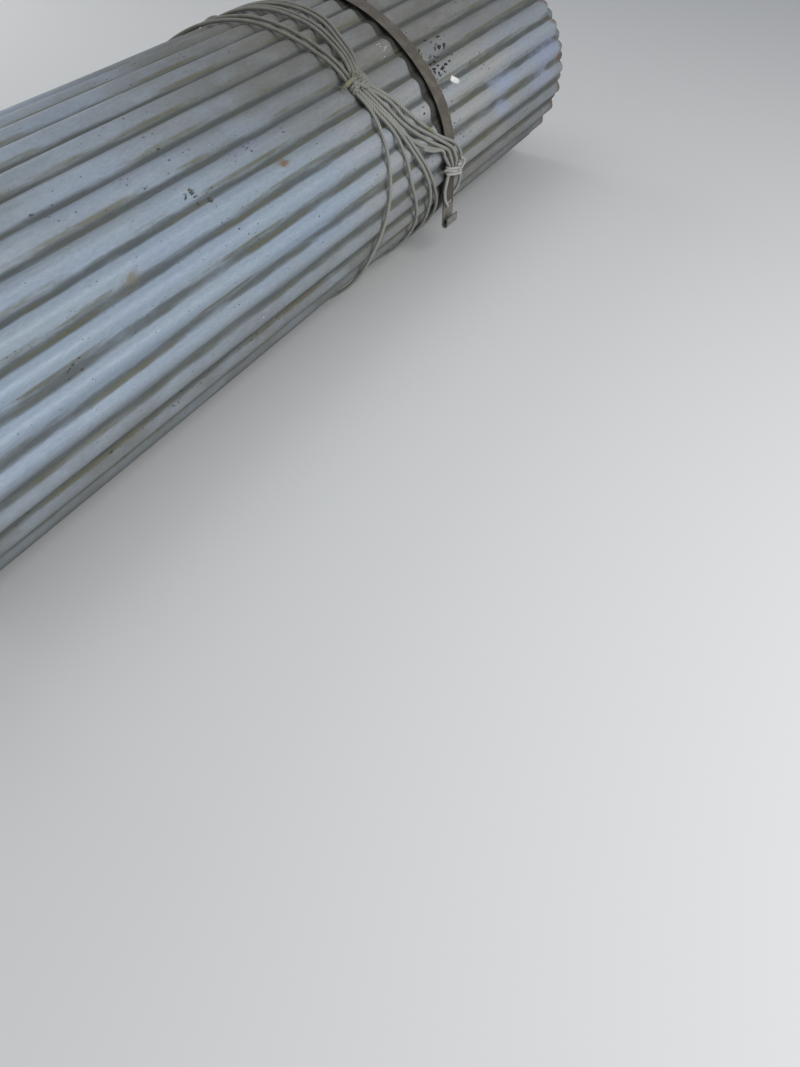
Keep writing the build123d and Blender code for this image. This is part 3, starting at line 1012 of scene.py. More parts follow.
@dataclass(frozen=True)
class GalvanisedFinish:
    """Weathered zinc: dull blue grey, browner low down and round the strap, dirty and with painted shade in
    its valleys, with painted shade in the dents under its ties and on its inner turns, and with dirt and a
    painted shadow on top.
    """

    section: RollSection
    zinc: Colour = (0.265, 0.325, 0.380)
    blue: Colour = (0.255, 0.320, 0.410)
    dust: Colour = (0.305, 0.292, 0.270)
    mud_and_shadow: Colour = (0.130, 0.128, 0.115)
    bloom: Colour = (0.40, 0.42, 0.45)
    dirt_and_shade: Colour = (0.050, 0.056, 0.052)
    moss: Colour = (0.105, 0.100, 0.055)
    # Painted shade for the dents that the ties press into the crests.
    painted_dent_shade: Colour = (0.026, 0.024, 0.020)
    speck: Colour = (0.034, 0.032, 0.028)
    chip: Colour = (0.55, 0.58, 0.60)
    rust: Colour = (0.150, 0.080, 0.045)
    blue_patches: Blotches = Blotches(4.0, 2.2, 0.30, 0.72)
    dust_patches: Blotches = Blotches(3.5, 3.0, 0.25, 0.75)
    bloom_streaks: Blotches = Blotches(16.0, 8.0, 0.50, 0.80)
    splashes: Blotches = Blotches(3.0, 4.5, 0.30, 0.66)
    top_darkening_patches: Blotches = Blotches(3.0, 3.6, 0.30, 0.62)
    ragged_patches: Blotches = Blotches(9.0, 6.0, 0.20, 0.80)
    moss_patches: Blotches = Blotches(7.0, 3.2, 0.42, 0.62)
    rust_patches: Blotches = Blotches(2.0, 12.0, 0.42, 0.60)
    dusty_from: Span = (-0.25, 0.40)
    dusty_until: Span = (0.85, 1.25)
    upper_darkening_from: Span = (-0.60, 0.05)
    rusty_from: Span = (1.405, 1.450)
    foot_height: Span = (0.06, 0.26)
    splash_height: Span = (0.24, 0.46)
    ledge_height: Span = (0.38, 0.50)
    upper_darkening_height: Span = (0.525, 0.630)
    top_darkening_height: Span = (0.545, 0.720)
    speck_scale: float = 95.0
    chip_scale: float = 130.0
    litter_scale: float = 80.0
    stains: tuple[Stain, ...] = (
        Stain(0.955, 19.12, 0.115, (0.270, 0.315, 0.430), 0.65, 0.3, 9.0, 3.0),
        Stain(1.330, 19.05, 0.140, (0.285, 0.315, 0.450), 0.60, 0.2, 9.0, 3.0),
        Stain(0.930, 18.10, 0.080, (0.275, 0.315, 0.430), 0.50, 0.2, 9.0, 2.5),
        Stain(1.280, 18.05, 0.120, (0.285, 0.315, 0.430), 0.55, 0.2, 9.0, 3.0),
        Stain(-0.208, 21.08, 0.022, (0.175, 0.095, 0.045), 0.85, 0.2, 60.0, 1.3),
        Stain(-0.798, 20.67, 0.030, (0.165, 0.140, 0.085), 0.70, 0.1, 50.0, 1.7),
        Stain(0.684, 20.34, 0.0185, (0.78, 0.77, 0.72), stir=25.0, narrowed=1.15),
        Stain(0.618, 21.17, 0.042, (0.022, 0.019, 0.016), crumbled=True),
        Stain(0.672, 21.22, 0.042, (0.022, 0.019, 0.016), crumbled=True),
        Stain(0.730, 21.17, 0.028, (0.026, 0.022, 0.018), crumbled=True),
        Stain(0.708, 22.08, 0.046, (0.026, 0.022, 0.018), crumbled=True),
        Stain(0.560, 21.90, 0.036, (0.026, 0.022, 0.018), crumbled=True),
        Stain(0.430, 20.10, 0.018, (0.030, 0.026, 0.020), crumbled=True),
        Stain(-0.520, 21.67, 0.022, (0.050, 0.043, 0.036), 0.9, crumbled=True),
        Stain(-0.468, 21.42, 0.018, (0.050, 0.043, 0.036), 0.9, crumbled=True),
    )

    def crumbs(self, bench: MaterialBench, scale: float, share: object) -> Signal:
        """Return small ragged crumbs.

        Args:
            bench: The material's bench.
            scale: How many lie in a metre.
            share: How thick they lie on the ground.

        Returns:
            1 on a crumb and 0 beside it.
        """
        laid = bench.stretched(bench.place, (0.6, 1.0, 1.0))
        cells = {"Vector": laid, "Scale": scale, "Randomness": 1.0}
        near = bench.out("TexVoronoi", cells, "Distance") + bench.noise(laid, scale * 2.2) * 0.35
        size = bench.out("TexVoronoi", cells, "Color").rise(0.25, 0.85) + 0.15
        return near.below(size * share)

    def marked(self, bench: MaterialBench, colour: Signal) -> Signal:
        """Return the sheet's colour with its specks, chips, rusty far rim and stains.

        Args:
            bench: The material's bench.
            colour: The colour under them.

        Returns:
            The colour with them.
        """
        crowd = bench.patches(bench.place, 6.0, 0.50, 0.74)
        scuffed = bench.patches(bench.place, 8.5, 0.60, 0.74)
        rusted = bench.axis("X").rise(*self.rusty_from) * self.rust_patches.on(bench)
        specks = self.crumbs(bench, self.speck_scale, crowd * 0.26 + 0.255)
        chips = self.crumbs(bench, self.chip_scale, scuffed * 0.46)
        litter = self.crumbs(bench, self.litter_scale, 0.74)
        colour = colour.toward(self.speck, specks * 0.72)
        colour = colour.toward(self.chip, chips * 0.75)
        colour = colour.toward(self.rust, rusted * 0.75)
        for stain in self.stains:
            distance = float(self.section.distance_of(np.array(stain.wave)))
            mask = bench.out("Group", {
                "Vector": bench.stretched(bench.flat, (1.0, stain.narrowed, 1.0)),
                "Middle": (stain.x, distance * stain.narrowed, 0.0),
                "Radius": stain.radius,
                "Core": stain.core,
                "Stir": stain.stir,
            }, node_tree=bench.effects.spot)
            mask = mask * litter if stain.crumbled else mask
            colour = colour.toward(stain.colour, mask * stain.strength)
        return colour

    def build(self, effects: SharedEffects) -> bpy.types.Material:
        """Return the material.

        Args:
            effects: The shared shader groups.

        Returns:
            The material, which reads the sheet's level, rising, pressed and inner values.
        """
        bench = MaterialBench("weathered_zinc", effects)
        along, height = bench.axis("X"), bench.axis("Z")
        level = bench.attribute("level")
        fall = level * -1.0
        near_strap = along.rise(*self.dusty_from) * (1.0 - along.rise(*self.dusty_until) * 0.55)
        cover = (near_strap * 0.86 + 0.16) * (self.dust_patches.on(bench) * 0.60 + 0.40)
        # Darker towards the floor.
        foot = 1.0 - height.rise(*self.foot_height)
        splashed = (1.0 - height.rise(*self.splash_height)) * (self.splashes.on(bench) * 0.40 + 0.48)
        # Darker towards the top: dirt, and a painted shadow of things lying above the roll.
        top_dirt_and_shadow = height.rise(*self.top_darkening_height) * (self.top_darkening_patches.on(bench) * 0.30 + 0.20)
        upper_dirt_and_shadow = along.rise(*self.upper_darkening_from) * height.rise(*self.upper_darkening_height)
        # Valleys and one flank of each wave are darkened: part dirt, part painted shade in the valleys.
        flank_dirt_and_shade = bench.attribute("rising") * (height.rise(*self.ledge_height) * 0.16 + 0.24)
        ragged = (self.ragged_patches.on(bench) - 0.5) * 0.5
        valley_dirt_and_shade = (fall + (ragged + flank_dirt_and_shade)).rise(0.30, 1.12) * 0.85
        # Painted shade in the dents that the strap and rope press into the crests.
        dent_shade_mask = bench.attribute("pressed").rise(0.30, 0.62)
        sill = fall.rise(0.10, 0.55) * (1.0 - fall.rise(0.80, 1.0))
        colour = bench.blend(self.blue_patches.on(bench), self.zinc, self.blue)
        colour = colour.toward(self.dust, cover)
        colour = colour.toward(self.bloom, self.bloom_streaks.on(bench) * level.rise(0.1, 0.95) * 0.38)
        colour = colour.toward(self.mud_and_shadow, splashed)
        colour = colour.toward(self.dirt_and_shade, foot * 0.55)
        # Dirt and a painted shadow on the upper turn.
        colour = colour.toward(self.mud_and_shadow, top_dirt_and_shadow + upper_dirt_and_shadow * 0.46)
        # Dirt and painted valley shade.
        colour = colour.toward(self.dirt_and_shade, valley_dirt_and_shade)
        colour = colour.toward(self.painted_dent_shade, dent_shade_mask * 0.92)
        colour = colour.toward(self.moss, self.moss_patches.on(bench) * sill * 0.74)
        colour = self.marked(bench, colour)
        # Painted shade on the inner turns, inside the roll.
        colour = colour.toward(self.dirt_and_shade, bench.attribute("inner") * 0.45)
        grain = bench.noise(bench.stretched(bench.place, (55.0, 170.0, 170.0)), 1.0, 5.0, 0.7)
        spread = {"Value": grain, "From Min": 0.25, "From Max": 0.75, "To Min": 0.87, "To Max": 1.13}
        tone = bench.out("MapRange", spread, "Result")
        dulled = valley_dirt_and_shade.higher(cover).higher(splashed.higher(dent_shade_mask))
        fine = bench.noise(bench.stretched(bench.place, (40.0, 260.0, 260.0)), 1.0, 4.0, 0.6)
        cells = {"Vector": bench.place, "Scale": 90.0}
        spangle = bench.out("TexVoronoi", cells, "Distance", feature="SMOOTH_F1")
        relief = spangle * 0.10 + (fine * 0.22 + bench.noise(bench.place, 16.0, 3.0) * 0.9)
        return bench.finished({
            "Base Color": bench.out("VectorMath", {0: colour, "Scale": tone}, operation="SCALE"),
            "Metallic": (1.0 - dulled) * 0.22,
            "Roughness": fine * 0.14 + (dulled * 0.22 + 0.44),
            "Specular IOR Level": 0.35,
        }, relief, 0.30, 0.0012)


@dataclass(frozen=True)
class WebbingFinish:
    """Brown polyester webbing with a ribbed weave, dusty above, and darker at its hanging end: wet and
    dirty, with painted shade under the whipping.
    """

    brown: Colour = (0.112, 0.092, 0.069)
    dark: Colour = (0.056, 0.046, 0.035)
    dust: Colour = (0.190, 0.170, 0.137)
    wet_dirt_and_shade: Colour = (0.048, 0.036, 0.026)
    thread: Colour = (0.420, 0.360, 0.170)
    wet_dirt_and_shade_height: Span = (0.270, 0.345)

    def build(self, effects: SharedEffects) -> bpy.types.Material:
        """Return the material.

        Args:
            effects: The shared shader groups.

        Returns:
            The material, which reads the strap's selvedge value.
        """
        bench = MaterialBench("ribbed_webbing", effects)
        across = {"Vector": bench.stretched(bench.flat, (1.0, 0.0, 0.0)), "Scale": 60.0}
        down = {"Vector": bench.stretched(bench.flat, (0.0, 1.0, 0.0)), "Scale": 130.0}
        weave = bench.out("TexWave", across, "Fac") * bench.out("TexWave", down, "Fac", bands_direction="Y")
        frayed = bench.maths("GREATER_THAN", bench.noise(bench.place, 95.0), 0.60)
        colour = bench.blend(weave.rise(0.0, 0.8), self.dark, self.brown)
        colour = colour.toward(self.dust, bench.patches(bench.place, 22.0, 0.40, 0.72) * 0.45)
        colour = colour.toward(self.thread, frayed * bench.attribute("selvedge"))
        # Darker low down: wet and dirt, and painted shade under the whipping.
        colour = colour.toward(self.wet_dirt_and_shade, (1.0 - bench.axis("Z").rise(*self.wet_dirt_and_shade_height)) * 0.75)
        surface = {"Base Color": colour, "Roughness": 0.78, "Sheen Weight": 0.05}
        return bench.finished(surface, weave, 0.5, 0.0006)


@dataclass(frozen=True)
class RopeFinish:
    """Faded khaki twisted rope, with dirt and painted shade between its strands, pale wear and a painted
    highlight on their ridges, soil and a painted shadow on top, and loose pale fibres.
    """

    khaki: Colour = (0.200, 0.200, 0.175)
    pale: Colour = (0.350, 0.350, 0.315)
    dirt_and_shade: Colour = (0.078, 0.075, 0.063)
    bleached: Colour = (0.500, 0.500, 0.485)
    green: Colour = (0.155, 0.160, 0.058)
    soil_and_shadow: Colour = (0.082, 0.073, 0.054)
    soil_and_shadow_height: Span = (0.590, 0.700)

    def build(self, effects: SharedEffects) -> bpy.types.Material:
        """Return the material.

        Args:
            effects: The shared shader groups.

        Returns:
            The material, which reads the rope's ridge, moss and pale values.
        """
        bench = MaterialBench("faded_rope", effects)
        ridge = bench.attribute("ridge")
        fibre = bench.noise(bench.stretched(bench.flat, (26.0, 420.0, 1.0)), 1.0, 3.0, 0.6)
        worn = bench.patches(bench.place, 30.0, 0.38, 0.66)
        mossy = bench.patches(bench.place, 13.0, 0.60, 0.74) * 0.15
        # Dirt and painted shade in the grooves between the strands.
        colour = bench.blend((ridge + fibre * 0.5).rise(-0.1, 0.9), self.dirt_and_shade, self.khaki)
        # Pale wear and a painted highlight along the strands' ridges.
        colour = colour.toward(self.pale, ridge.rise(0.55, 1.0) * (worn * 0.55 + 0.25))
        # Darker on top: soil, and a painted shadow of things lying above the roll.
        colour = colour.toward(self.soil_and_shadow, bench.axis("Z").rise(*self.soil_and_shadow_height) * (worn * 0.35 + 0.30))
        colour = colour.toward(self.green, mossy.higher(bench.attribute("moss")) * 0.7)
        colour = colour.toward(self.bleached, bench.attribute("pale") * 0.6)
        surface = {"Base Color": colour, "Roughness": 0.85, "Sheen Weight": 0.10}
        return bench.finished(surface, fibre * 0.5 + ridge, 0.4, 0.0008)


@dataclass(frozen=True)
class HookFinish:
    """Zinc-plated pressed steel that has begun to rust round its slot."""

    zinc: Colour = (0.270, 0.270, 0.250)
    rust: Colour = (0.120, 0.078, 0.045)
    grime: Colour = (0.060, 0.055, 0.048)

    def build(self, effects: SharedEffects) -> bpy.types.Material:
        """Return the material.

        Args:
            effects: The shared shader groups.

        Returns:
            The material.
        """
        bench = MaterialBench("rusting_hook", effects)
        low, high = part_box("strap_hook")
        upper = bench.axis("Z").rise(low.z + 0.030, high.z - 0.030)
        rusty = bench.patches(bench.place, 55.0, 0.30, 0.60) * (upper * 0.80 + 0.12)
        colour = bench.blend(rusty, self.zinc, self.rust)
        colour = colour.toward(self.grime, bench.patches(bench.place, 90.0, 0.48, 0.70) * 0.6)
        surface = {"Base Color": colour, "Metallic": (1.0 - rusty) * 0.7, "Roughness": rusty * 0.35 + 0.42}
        return bench.finished(surface, bench.noise(bench.place, 420.0, 4.0), 0.35, 0.0006)


@dataclass
class WebbingStrap:
    """The strap: a tight band round the roll and a loose end that turns up round the hook's bar."""

    section: RollSection
    ties: TiePlan
    width: float = 0.055
    clearance: float = 0.0003
    seam_above_widest: float = 0.025
    slot_size: float = 0.020
    wander: float = 0.0012
    bar: float = 0.010
    bar_thickness: float = 0.004
    turn_up: float = 0.062
    band_spacing: float = 0.012
    tail_spacing: float = 0.004
    thread_edge: Span = (0.40, 0.47)
    thread_side: Span = (0.30, 0.40)
    thread_height: Span = (0.33, 0.40)

    @cached_property
    def tape(self) -> Array:
        """Return the profile of the tape, a flat bar with rounded edges.

        Returns:
            Plane points, across the tape and square to it.
        """
        half_thickness = self.ties.strap_thickness / 2
        angle = np.linspace(-math.pi / 2, math.pi / 2, 5)
        half = self.width / 2 - half_thickness
        right = np.stack([half + np.cos(angle) * half_thickness, np.sin(angle) * half_thickness], -1)
        across = np.linspace(half, -half, 9)[1:-1]
        top = np.stack([across, np.full_like(across, half_thickness)], -1)
        return np.concatenate([right, top, -right, -top])

    def band_line(self) -> Array:
        """Return the band's line over the crests, from the widest crest down, round and back to it.

        Returns:
            The points that the band passes.
        """
        crests = np.append(np.arange(self.section.outer_crests)[::-1], self.section.outer_crests - 1)
        lift = self.section.wave_depth / 2 + self.ties.strap_thickness / 2 + self.clearance
        plane = self.section.place(crests.astype(float), lift)
        return np.column_stack([self.ties.band_x(plane[:, 0]) + self.wander * np.sin(crests * 0.7), plane])

    def tail_line(self) -> Array:
        """Return the loose end's line: down in front of the hook's bar, round it and up again.

        Returns:
            The points that the loose end passes.
        """
        thickness = self.ties.strap_thickness
        top = self.section.widest_height + self.seam_above_widest
        foot = self.ties.slot_height + self.slot_size / 2
        head = foot + self.bar
        y = self.ties.strap_front + thickness / 2
        room = self.bar_thickness + 2 * self.clearance + thickness
        arc = np.linspace(math.pi, 2 * math.pi, 7)
        plane = np.concatenate([
            np.column_stack([np.full(6, y), np.linspace(top, foot + 0.006, 6)]),
            np.column_stack([y + room / 2 + np.cos(arc) * room / 2, foot + np.sin(arc) * room / 2]),
            [[y + room, head], [y + thickness * 1.6, head + 0.018], [y + thickness * 1.05, head + 0.03]],
            [[y + thickness * 1.05, head + self.turn_up]],
        ])
        return np.column_stack([np.full(len(plane), self.ties.strap_x), plane])

    def lay(self, draft: MeshDraft, line: Array, spacing: float, threaded: float) -> None:
        """Add a stretch of tape.

        Its yellow edge thread shows along the far edge, on the visible side below the top.

        Args:
            draft: The draft that takes it.
            line: The points that it passes.
            spacing: The distance between its stations.
            threaded: How far the thread shows.
        """
        path = smooth_path(line, spacing)
        low, high = self.thread_edge
        at_edge = smooth_step(self.tape[:, 0], self.width * low, self.width * high)
        seen = smooth_step(-path[:, 1], *self.thread_side) * smooth_step(path[:, 2], *self.thread_height)
        profile = np.broadcast_to(self.tape, (len(path), *self.tape.shape))
        across = np.broadcast_to(ALONG, path.shape)
        draft.carry(path, across, profile, {"selvedge": threaded * seen[:, None] * at_edge})

    def build(self) -> bpy.types.Object:
        """Return the strap, the tape's profile carried along the band and along the loose end.

        Returns:
            The strap.
        """
        draft = MeshDraft()
        self.lay(draft, self.band_line(), self.band_spacing, 1.0)
        self.lay(draft, self.tail_line(), self.tail_spacing, 0.0)
        return draft.piece("strap_webbing", sharp_degrees=70.0)


@dataclass(frozen=True)
class Seat:
    """A place that points are given from in millimetres: across some strands, along them and outwards."""

    origin: Array
    across: Array
    along: Array
    out: Array

    def at(self, *points: Place) -> Array:
        """Return points in the model's frame."""
        return self.origin + np.array(points) * MILLIMETRE @ np.stack([self.across, self.along, self.out])

    def wound(self, middle: Place, wide: float, deep: float, rise: float, turns: float) -> Array:
        """Return a winding round the bundle.

        At angle a the point is the middle + across * wide * cos(a) + out * deep * sin(a)
        + along * rise * (a / (2 pi) - half the turns).

        Args:
            middle: The winding's middle.
            wide: Half its width.
            deep: Half its depth.
            rise: Its rise in a turn.
            turns: The number of turns.

        Returns:
            The points of the winding.
        """
        angle = np.linspace(0.0, 2 * math.pi * turns, max(8, round(turns * 16)))
        climb = rise * (angle / (2 * math.pi) - turns / 2)
        winding = np.stack([wide * np.cos(angle), climb, deep * np.sin(angle)], axis=-1)
        return self.at(*(np.array(middle) + winding))


@dataclass
class TieRope:
    """The rope: turns round the roll, the knot, the strands to the whipping and the loop on the hook."""

    section: RollSection
    ties: TiePlan
    diameter: float = 0.011
    lay_length: float = 0.030
    lobe: float = 0.07
    strands: int = 3
    sides: int = 16
    spacing: float = 0.0048
    clearance: float = 0.0003
    packed_lane: float = 0.0072
    packed_layer: float = 0.72
    swollen: float = 0.0125
    drawn: float = 0.0105
    thin: float = 0.0100
    pinched: float = 0.0095
    loose_end_crests_down: int = 3
    loose_end_past_knot: float = 0.180
    stained_strand: int = 3
    stained_share: Span = (0.50, 0.58)
    fibre_radii: Span = (0.0008, 0.0002)
    fibre_reach: Span = (0.5, 1.2)
    fibre_scatter: float = 0.28
    fibre_moss: Span = (0.2, 1.0)
    fibre_pale: Span = (0.0, 0.7)
    whipping_cord: float = 0.0088
    whipping_turns: float = 3.2
    whipping_place: Place = (-0.022, 0.0235, 0.129)
    whipping_turn_degrees: float = 30.0
    whipped_spacing: float = 0.0125
    seed: int = 11
    length: float = 0.0
    draft: MeshDraft = field(default_factory=MeshDraft)

    def lay(
        self,
        controls: Array,
        diameter: float | None = None,
        across: Array = ALONG,
        moss: Span | None = None,
        pale: float = 0.0,
    ) -> None:
        """Add one stretch of rope, and its length to the rope's.

        Its radius is 1 - lobe * (1 - sqrt|cos(1.5(a - 2 pi s / lay))|) of the rope's, at angle a and
        distance s.

        Args:
            controls: The points that it passes.
            diameter: Its diameter, where it isn't the rope's own.
            across: A direction that isn't along its start.
            moss: The shares of its length between which it is stained yellow-green.
            pale: How far it is rubbed pale.
        """
        diameter = diameter or self.diameter
        path = smooth_path(controls, self.spacing * diameter / self.diameter)
        travelled = travel(path)
        angle = np.linspace(0.0, 2 * math.pi, self.sides, endpoint=False)[None, :]
        twist = 2 * math.pi * travelled[:, None] / (self.lay_length * diameter / self.diameter)
        ridge = np.abs(np.cos(self.strands / 2 * (angle - twist)))
        radius = diameter / 2 * (1.0 - self.lobe * (1.0 - np.sqrt(ridge)))
        share = travelled / travelled[-1]
        stained = np.zeros_like(share)
        if moss:
            start, end = moss
            edge = 0.25 * (end - start)
            stained = plateau(share, (start - edge, start + edge), (end - edge, end + edge))
        profile = np.stack([radius * np.cos(angle), radius * np.sin(angle)], axis=-1)
        self.draft.carry(path, across, profile, {
            "ridge": ridge,
            "moss": np.broadcast_to(stained[:, None], ridge.shape),
            "pale": np.full(ridge.shape, pale),
        })
        self.length += float(travelled[-1])

    def fray(self, tip: Array, ahead: Array, length: float, count: int, spread: float) -> None:
        """Add the loose fibres of a cut end, each a thin tapering thread.

        Args:
            tip: The end of the rope.
            ahead: The direction in which the rope ends.
            length: The fibres' mean length.
            count: The number of fibres.
            spread: How far they lean from the rope's direction.
        """
        random = np.random.default_rng(self.seed + count)
        ring = np.linspace(0.0, 2 * math.pi, 4, endpoint=False)
        circle = np.stack([np.cos(ring), np.sin(ring)], axis=-1)
        ahead = unit(ahead)
        for _ in range(count):
            lean = random.normal(0.0, spread, (2, 3))
            reach = length * random.uniform(*self.fibre_reach)
            start = tip + random.normal(0.0, self.fibre_scatter, 3) * self.diameter / 2
            bend = start + (ahead + lean[0]) * reach * 0.5
            controls = [start - ahead * 0.004, bend, start + (ahead + lean.sum(axis=0)) * reach]
            path = smooth_path(np.stack(controls), reach / 5)
            taper = np.linspace(*self.fibre_radii, len(path))[:, None, None]
            blank = np.ones((len(path), len(ring)))
            values = {"ridge": blank, "moss": blank * random.uniform(*self.fibre_moss)}
            values["pale"] = blank * random.uniform(*self.fibre_pale)
            self.draft.carry(path, ASLANT, taper * circle, values)

    def over_crests(self, steps: Array, lift: Array) -> Array:
        """Return plane points lifted over the crests, counted down the visible side from the knot's."""
        crests = np.mod(self.ties.knot_wave - steps, self.section.outer_crests).astype(float)
        return self.section.place(crests, self.section.wave_depth / 2 + self.clearance + lift)

    def packed(self, lane: float) -> tuple[float, float]:
        """Return a strand's place along X and its height where the knot draws the strands together."""
        layer = int(lane - 0.5) % 2
        return self.ties.knot_x + lane * self.packed_lane, self.diameter * (0.5 + self.packed_layer * layer)

    def lay_turns(self) -> None:
        """Add the turns, crest by crest from the knot down the visible side and back."""
        count = self.section.outer_crests
        steps = np.arange(count + 1)
        for number in range(len(ROPE_TURNS)):
            x = self.ties.turn_x(number, steps / count)
            lift = np.full(count + 1, self.diameter / 2)
            x[[0, -1]], lift[[0, -1]] = self.packed(self.ties.turn_lane(number))
            self.lay(np.column_stack([x, self.over_crests(steps, lift)]))

    def lay_ends(self) -> None:
        """Add the rope's ends, which run over the top to the second knot."""
        count = self.section.outer_crests
        last = round(ROPE_ENDS[0][-1][0] * count)
        steps = np.arange(last + 1)
        for number, course in enumerate(ROPE_ENDS):
            x = self.ties.course_x(course, 0.0, steps / count)
            lift = np.full(len(steps), self.diameter / 2)
            x[0], lift[0] = self.packed(number + 1.5)
            self.lay(np.column_stack([x, self.over_crests(-steps, lift)]))

    @cached_property
    def whipping(self) -> Seat:
        """Return the whipping's place before the strap's loose end, turned towards the near end.

        Returns:
            The seat.
        """
        turn = math.radians(self.whipping_turn_degrees)
        aside, outward, up = self.whipping_place
        middle = [self.ties.strap_x + aside, self.ties.strap_front - outward, self.ties.slot_height + up]
        across = np.array([math.cos(turn), -math.sin(turn), 0.0])
        return Seat(np.array(middle), across, UPRIGHT, np.array([-math.sin(turn), -math.cos(turn), 0.0]))

    def lay_bridle(self) -> None:
        """Add the strands from the knot across the roll into the whipping, the last with a green stain."""
        for number, (shifts, arch) in enumerate(BRIDLE):
            x, lift = self.packed(number + 0.5)
            places = np.array([x, *(self.ties.knot_x + np.array(shifts))])
            plane = self.over_crests(np.arange(4), np.array([lift, *np.full(3, self.diameter / 2)]))
            lane = (number - 1.5) * self.whipped_spacing / MILLIMETRE
            self.lay(np.concatenate([
                np.column_stack([places, plane]),
                self.whipping.origin + np.array(arch),
                self.whipping.at((lane, 12, 0), (lane, -12, 0)),
            ]), moss=self.stained_share if number == self.stained_strand else None)

    def lay_loop(self) -> None:
        """Add the loop through the hook."""
        across, out, up = np.array(HOOK_LOOP).T
        face = self.ties.strap_front + self.ties.strap_thickness + self.clearance
        x = self.ties.strap_x + across
        self.lay(np.column_stack([x, face - out, self.ties.slot_height + up]), pale=0.4)

    def knot_seat(self, steps_up: int, x: float) -> Seat:
        """Return the seat of a knot on a crest, its strands running down the roll.

        Args:
            steps_up: Crests from the first knot's up to this one's.
            x: The knot's place along X.

        Returns:
            The seat.
        """
        near = self.over_crests(-steps_up + np.array([1, 0, -1]), np.zeros(3))
        down = np.array([0.0, *unit(near[0] - near[2])])
        return Seat(np.array([x, *near[1]]), ALONG, down, np.cross(down, ALONG))

    def tie_knot(self) -> None:
        """Add the knot that draws the turns together: a winding, two bights over it and a cut end."""
        knot = self.knot_seat(0, self.ties.knot_x)
        bight = knot.at(
            (-27, 14, 10), (-24, -2, 22), (-10, -20, 26), (10, -30, 20),
            (24, -22, 18), (16, -6, 26), (0, 8, 26), (-6, 18, 14),
        )
        end = knot.at(
            (32, 12, 10), (24, -4, 24), (4, -13, 30), (-16, -15, 26), (-34, -15, 19), (-50, -14, 12))
        flap = knot.at(
            (8, -36, 14), (28, -26, 22), (38, -6, 20), (30, 14, 17),
            (10, 20, 21), (-12, 8, 27), (-26, -10, 21),
        )
        self.lay(knot.wound((2, 5, 9), 34, 15.5, 10, 2.3), self.drawn, across=knot.along)
        self.lay(bight, self.swollen, moss=(0.30, 0.55))
        self.lay(end, self.swollen, across=UPRIGHT, moss=(0.74, 1.3))
        self.lay(flap, self.thin, across=UPRIGHT)
        self.fray(end[-1], end[-1] - end[-2], 0.012, 60, 0.42)
        self.fray(end[2], end[3] - end[1], 0.016, 60, 0.55)

    def tie_second_knot(self) -> None:
        """Add the knot that holds the rope's ends to two of the turns."""
        share = ROPE_ENDS[0][-1][0]
        x = float(self.ties.course_x(ROPE_ENDS[0], -1.4, np.array(share)))
        knot = self.knot_seat(round(share * self.section.outer_crests), x)
        self.lay(knot.wound((0, 0, 8), 37, 12, 11, 2.4), self.pinched, across=knot.along)

    def whip(self) -> None:
        """Add the whipping round the strands above the hook, with its loose ear and its cut stub."""
        half_width = 1.5 * self.whipped_spacing + self.diameter / 2 + self.whipping_cord * 0.4
        half_depth = self.diameter / 2 + self.whipping_cord * 0.35
        sizes = np.array([half_width, half_depth, self.whipping_cord * 1.06]) / MILLIMETRE
        ear = self.whipping.at((10, -2, 9), (20, 5, 12), (30, 14, 10), (36, 23, 5), (32, 30, 1), (24, 31, 1))
        stub = self.whipping.at((-14, 0, 8), (-25, 4, 11), (-34, 6, 9), (-40, 1, 5))
        winding = self.whipping.wound((0, 0, 0), *sizes, self.whipping_turns)
        self.lay(winding, self.whipping_cord, across=UPRIGHT, pale=0.75)
        self.lay(ear, self.whipping_cord, across=UPRIGHT, pale=0.5)
        self.lay(stub, self.pinched, across=UPRIGHT, pale=0.3)
        self.fray(stub[-1], stub[-1] - stub[-2], 0.009, 14, 0.30)

    def tie_loose_end(self) -> None:
        """Add the rope's second end, which lies under the strands above the whipping."""
        seat = self.knot_seat(-self.loose_end_crests_down, self.ties.knot_x + self.loose_end_past_knot)
        end = seat.at((40, 42, 14), (6, 34, 13), (-22, 23, 11), (-44, 12, 8))
        self.lay(end, self.thin, across=UPRIGHT)
        self.fray(end[-1], end[-1] - end[-2], 0.014, 22, 0.32)

    def build(self) -> bpy.types.Object:
        """Return the rope, and log its length.

        Returns:
            The rope.
        """
        for step in (self.lay_turns, self.lay_ends, self.lay_bridle, self.lay_loop, self.tie_knot,
                     self.tie_second_knot, self.whip, self.tie_loose_end):
            step()
        LOG.info("rope measures %.2f m", self.length)
        return self.draft.piece("rope_ties")


@dataclass(frozen=True)
class Lamp:
    """A square lamp: its name, where it hangs, where it points, its size, power and colour."""

    name: str
    place: Place
    aim: Place
    size: float
    power: float
    colour: Colour

    def hang(self) -> None:
        """Add the lamp to the scene."""
        lamp = bpy.data.lights.new(self.name, "AREA")
        lamp.size = self.size
        lamp.energy = self.power
        lamp.color = self.colour
        x, y, z = np.array(self.aim) - np.array(self.place)
        turns = (math.atan2(math.hypot(x, y), -z), 0.0, math.atan2(y, x) - math.pi / 2)
        placed(self.name, lamp, self.place).rotation_euler = turns


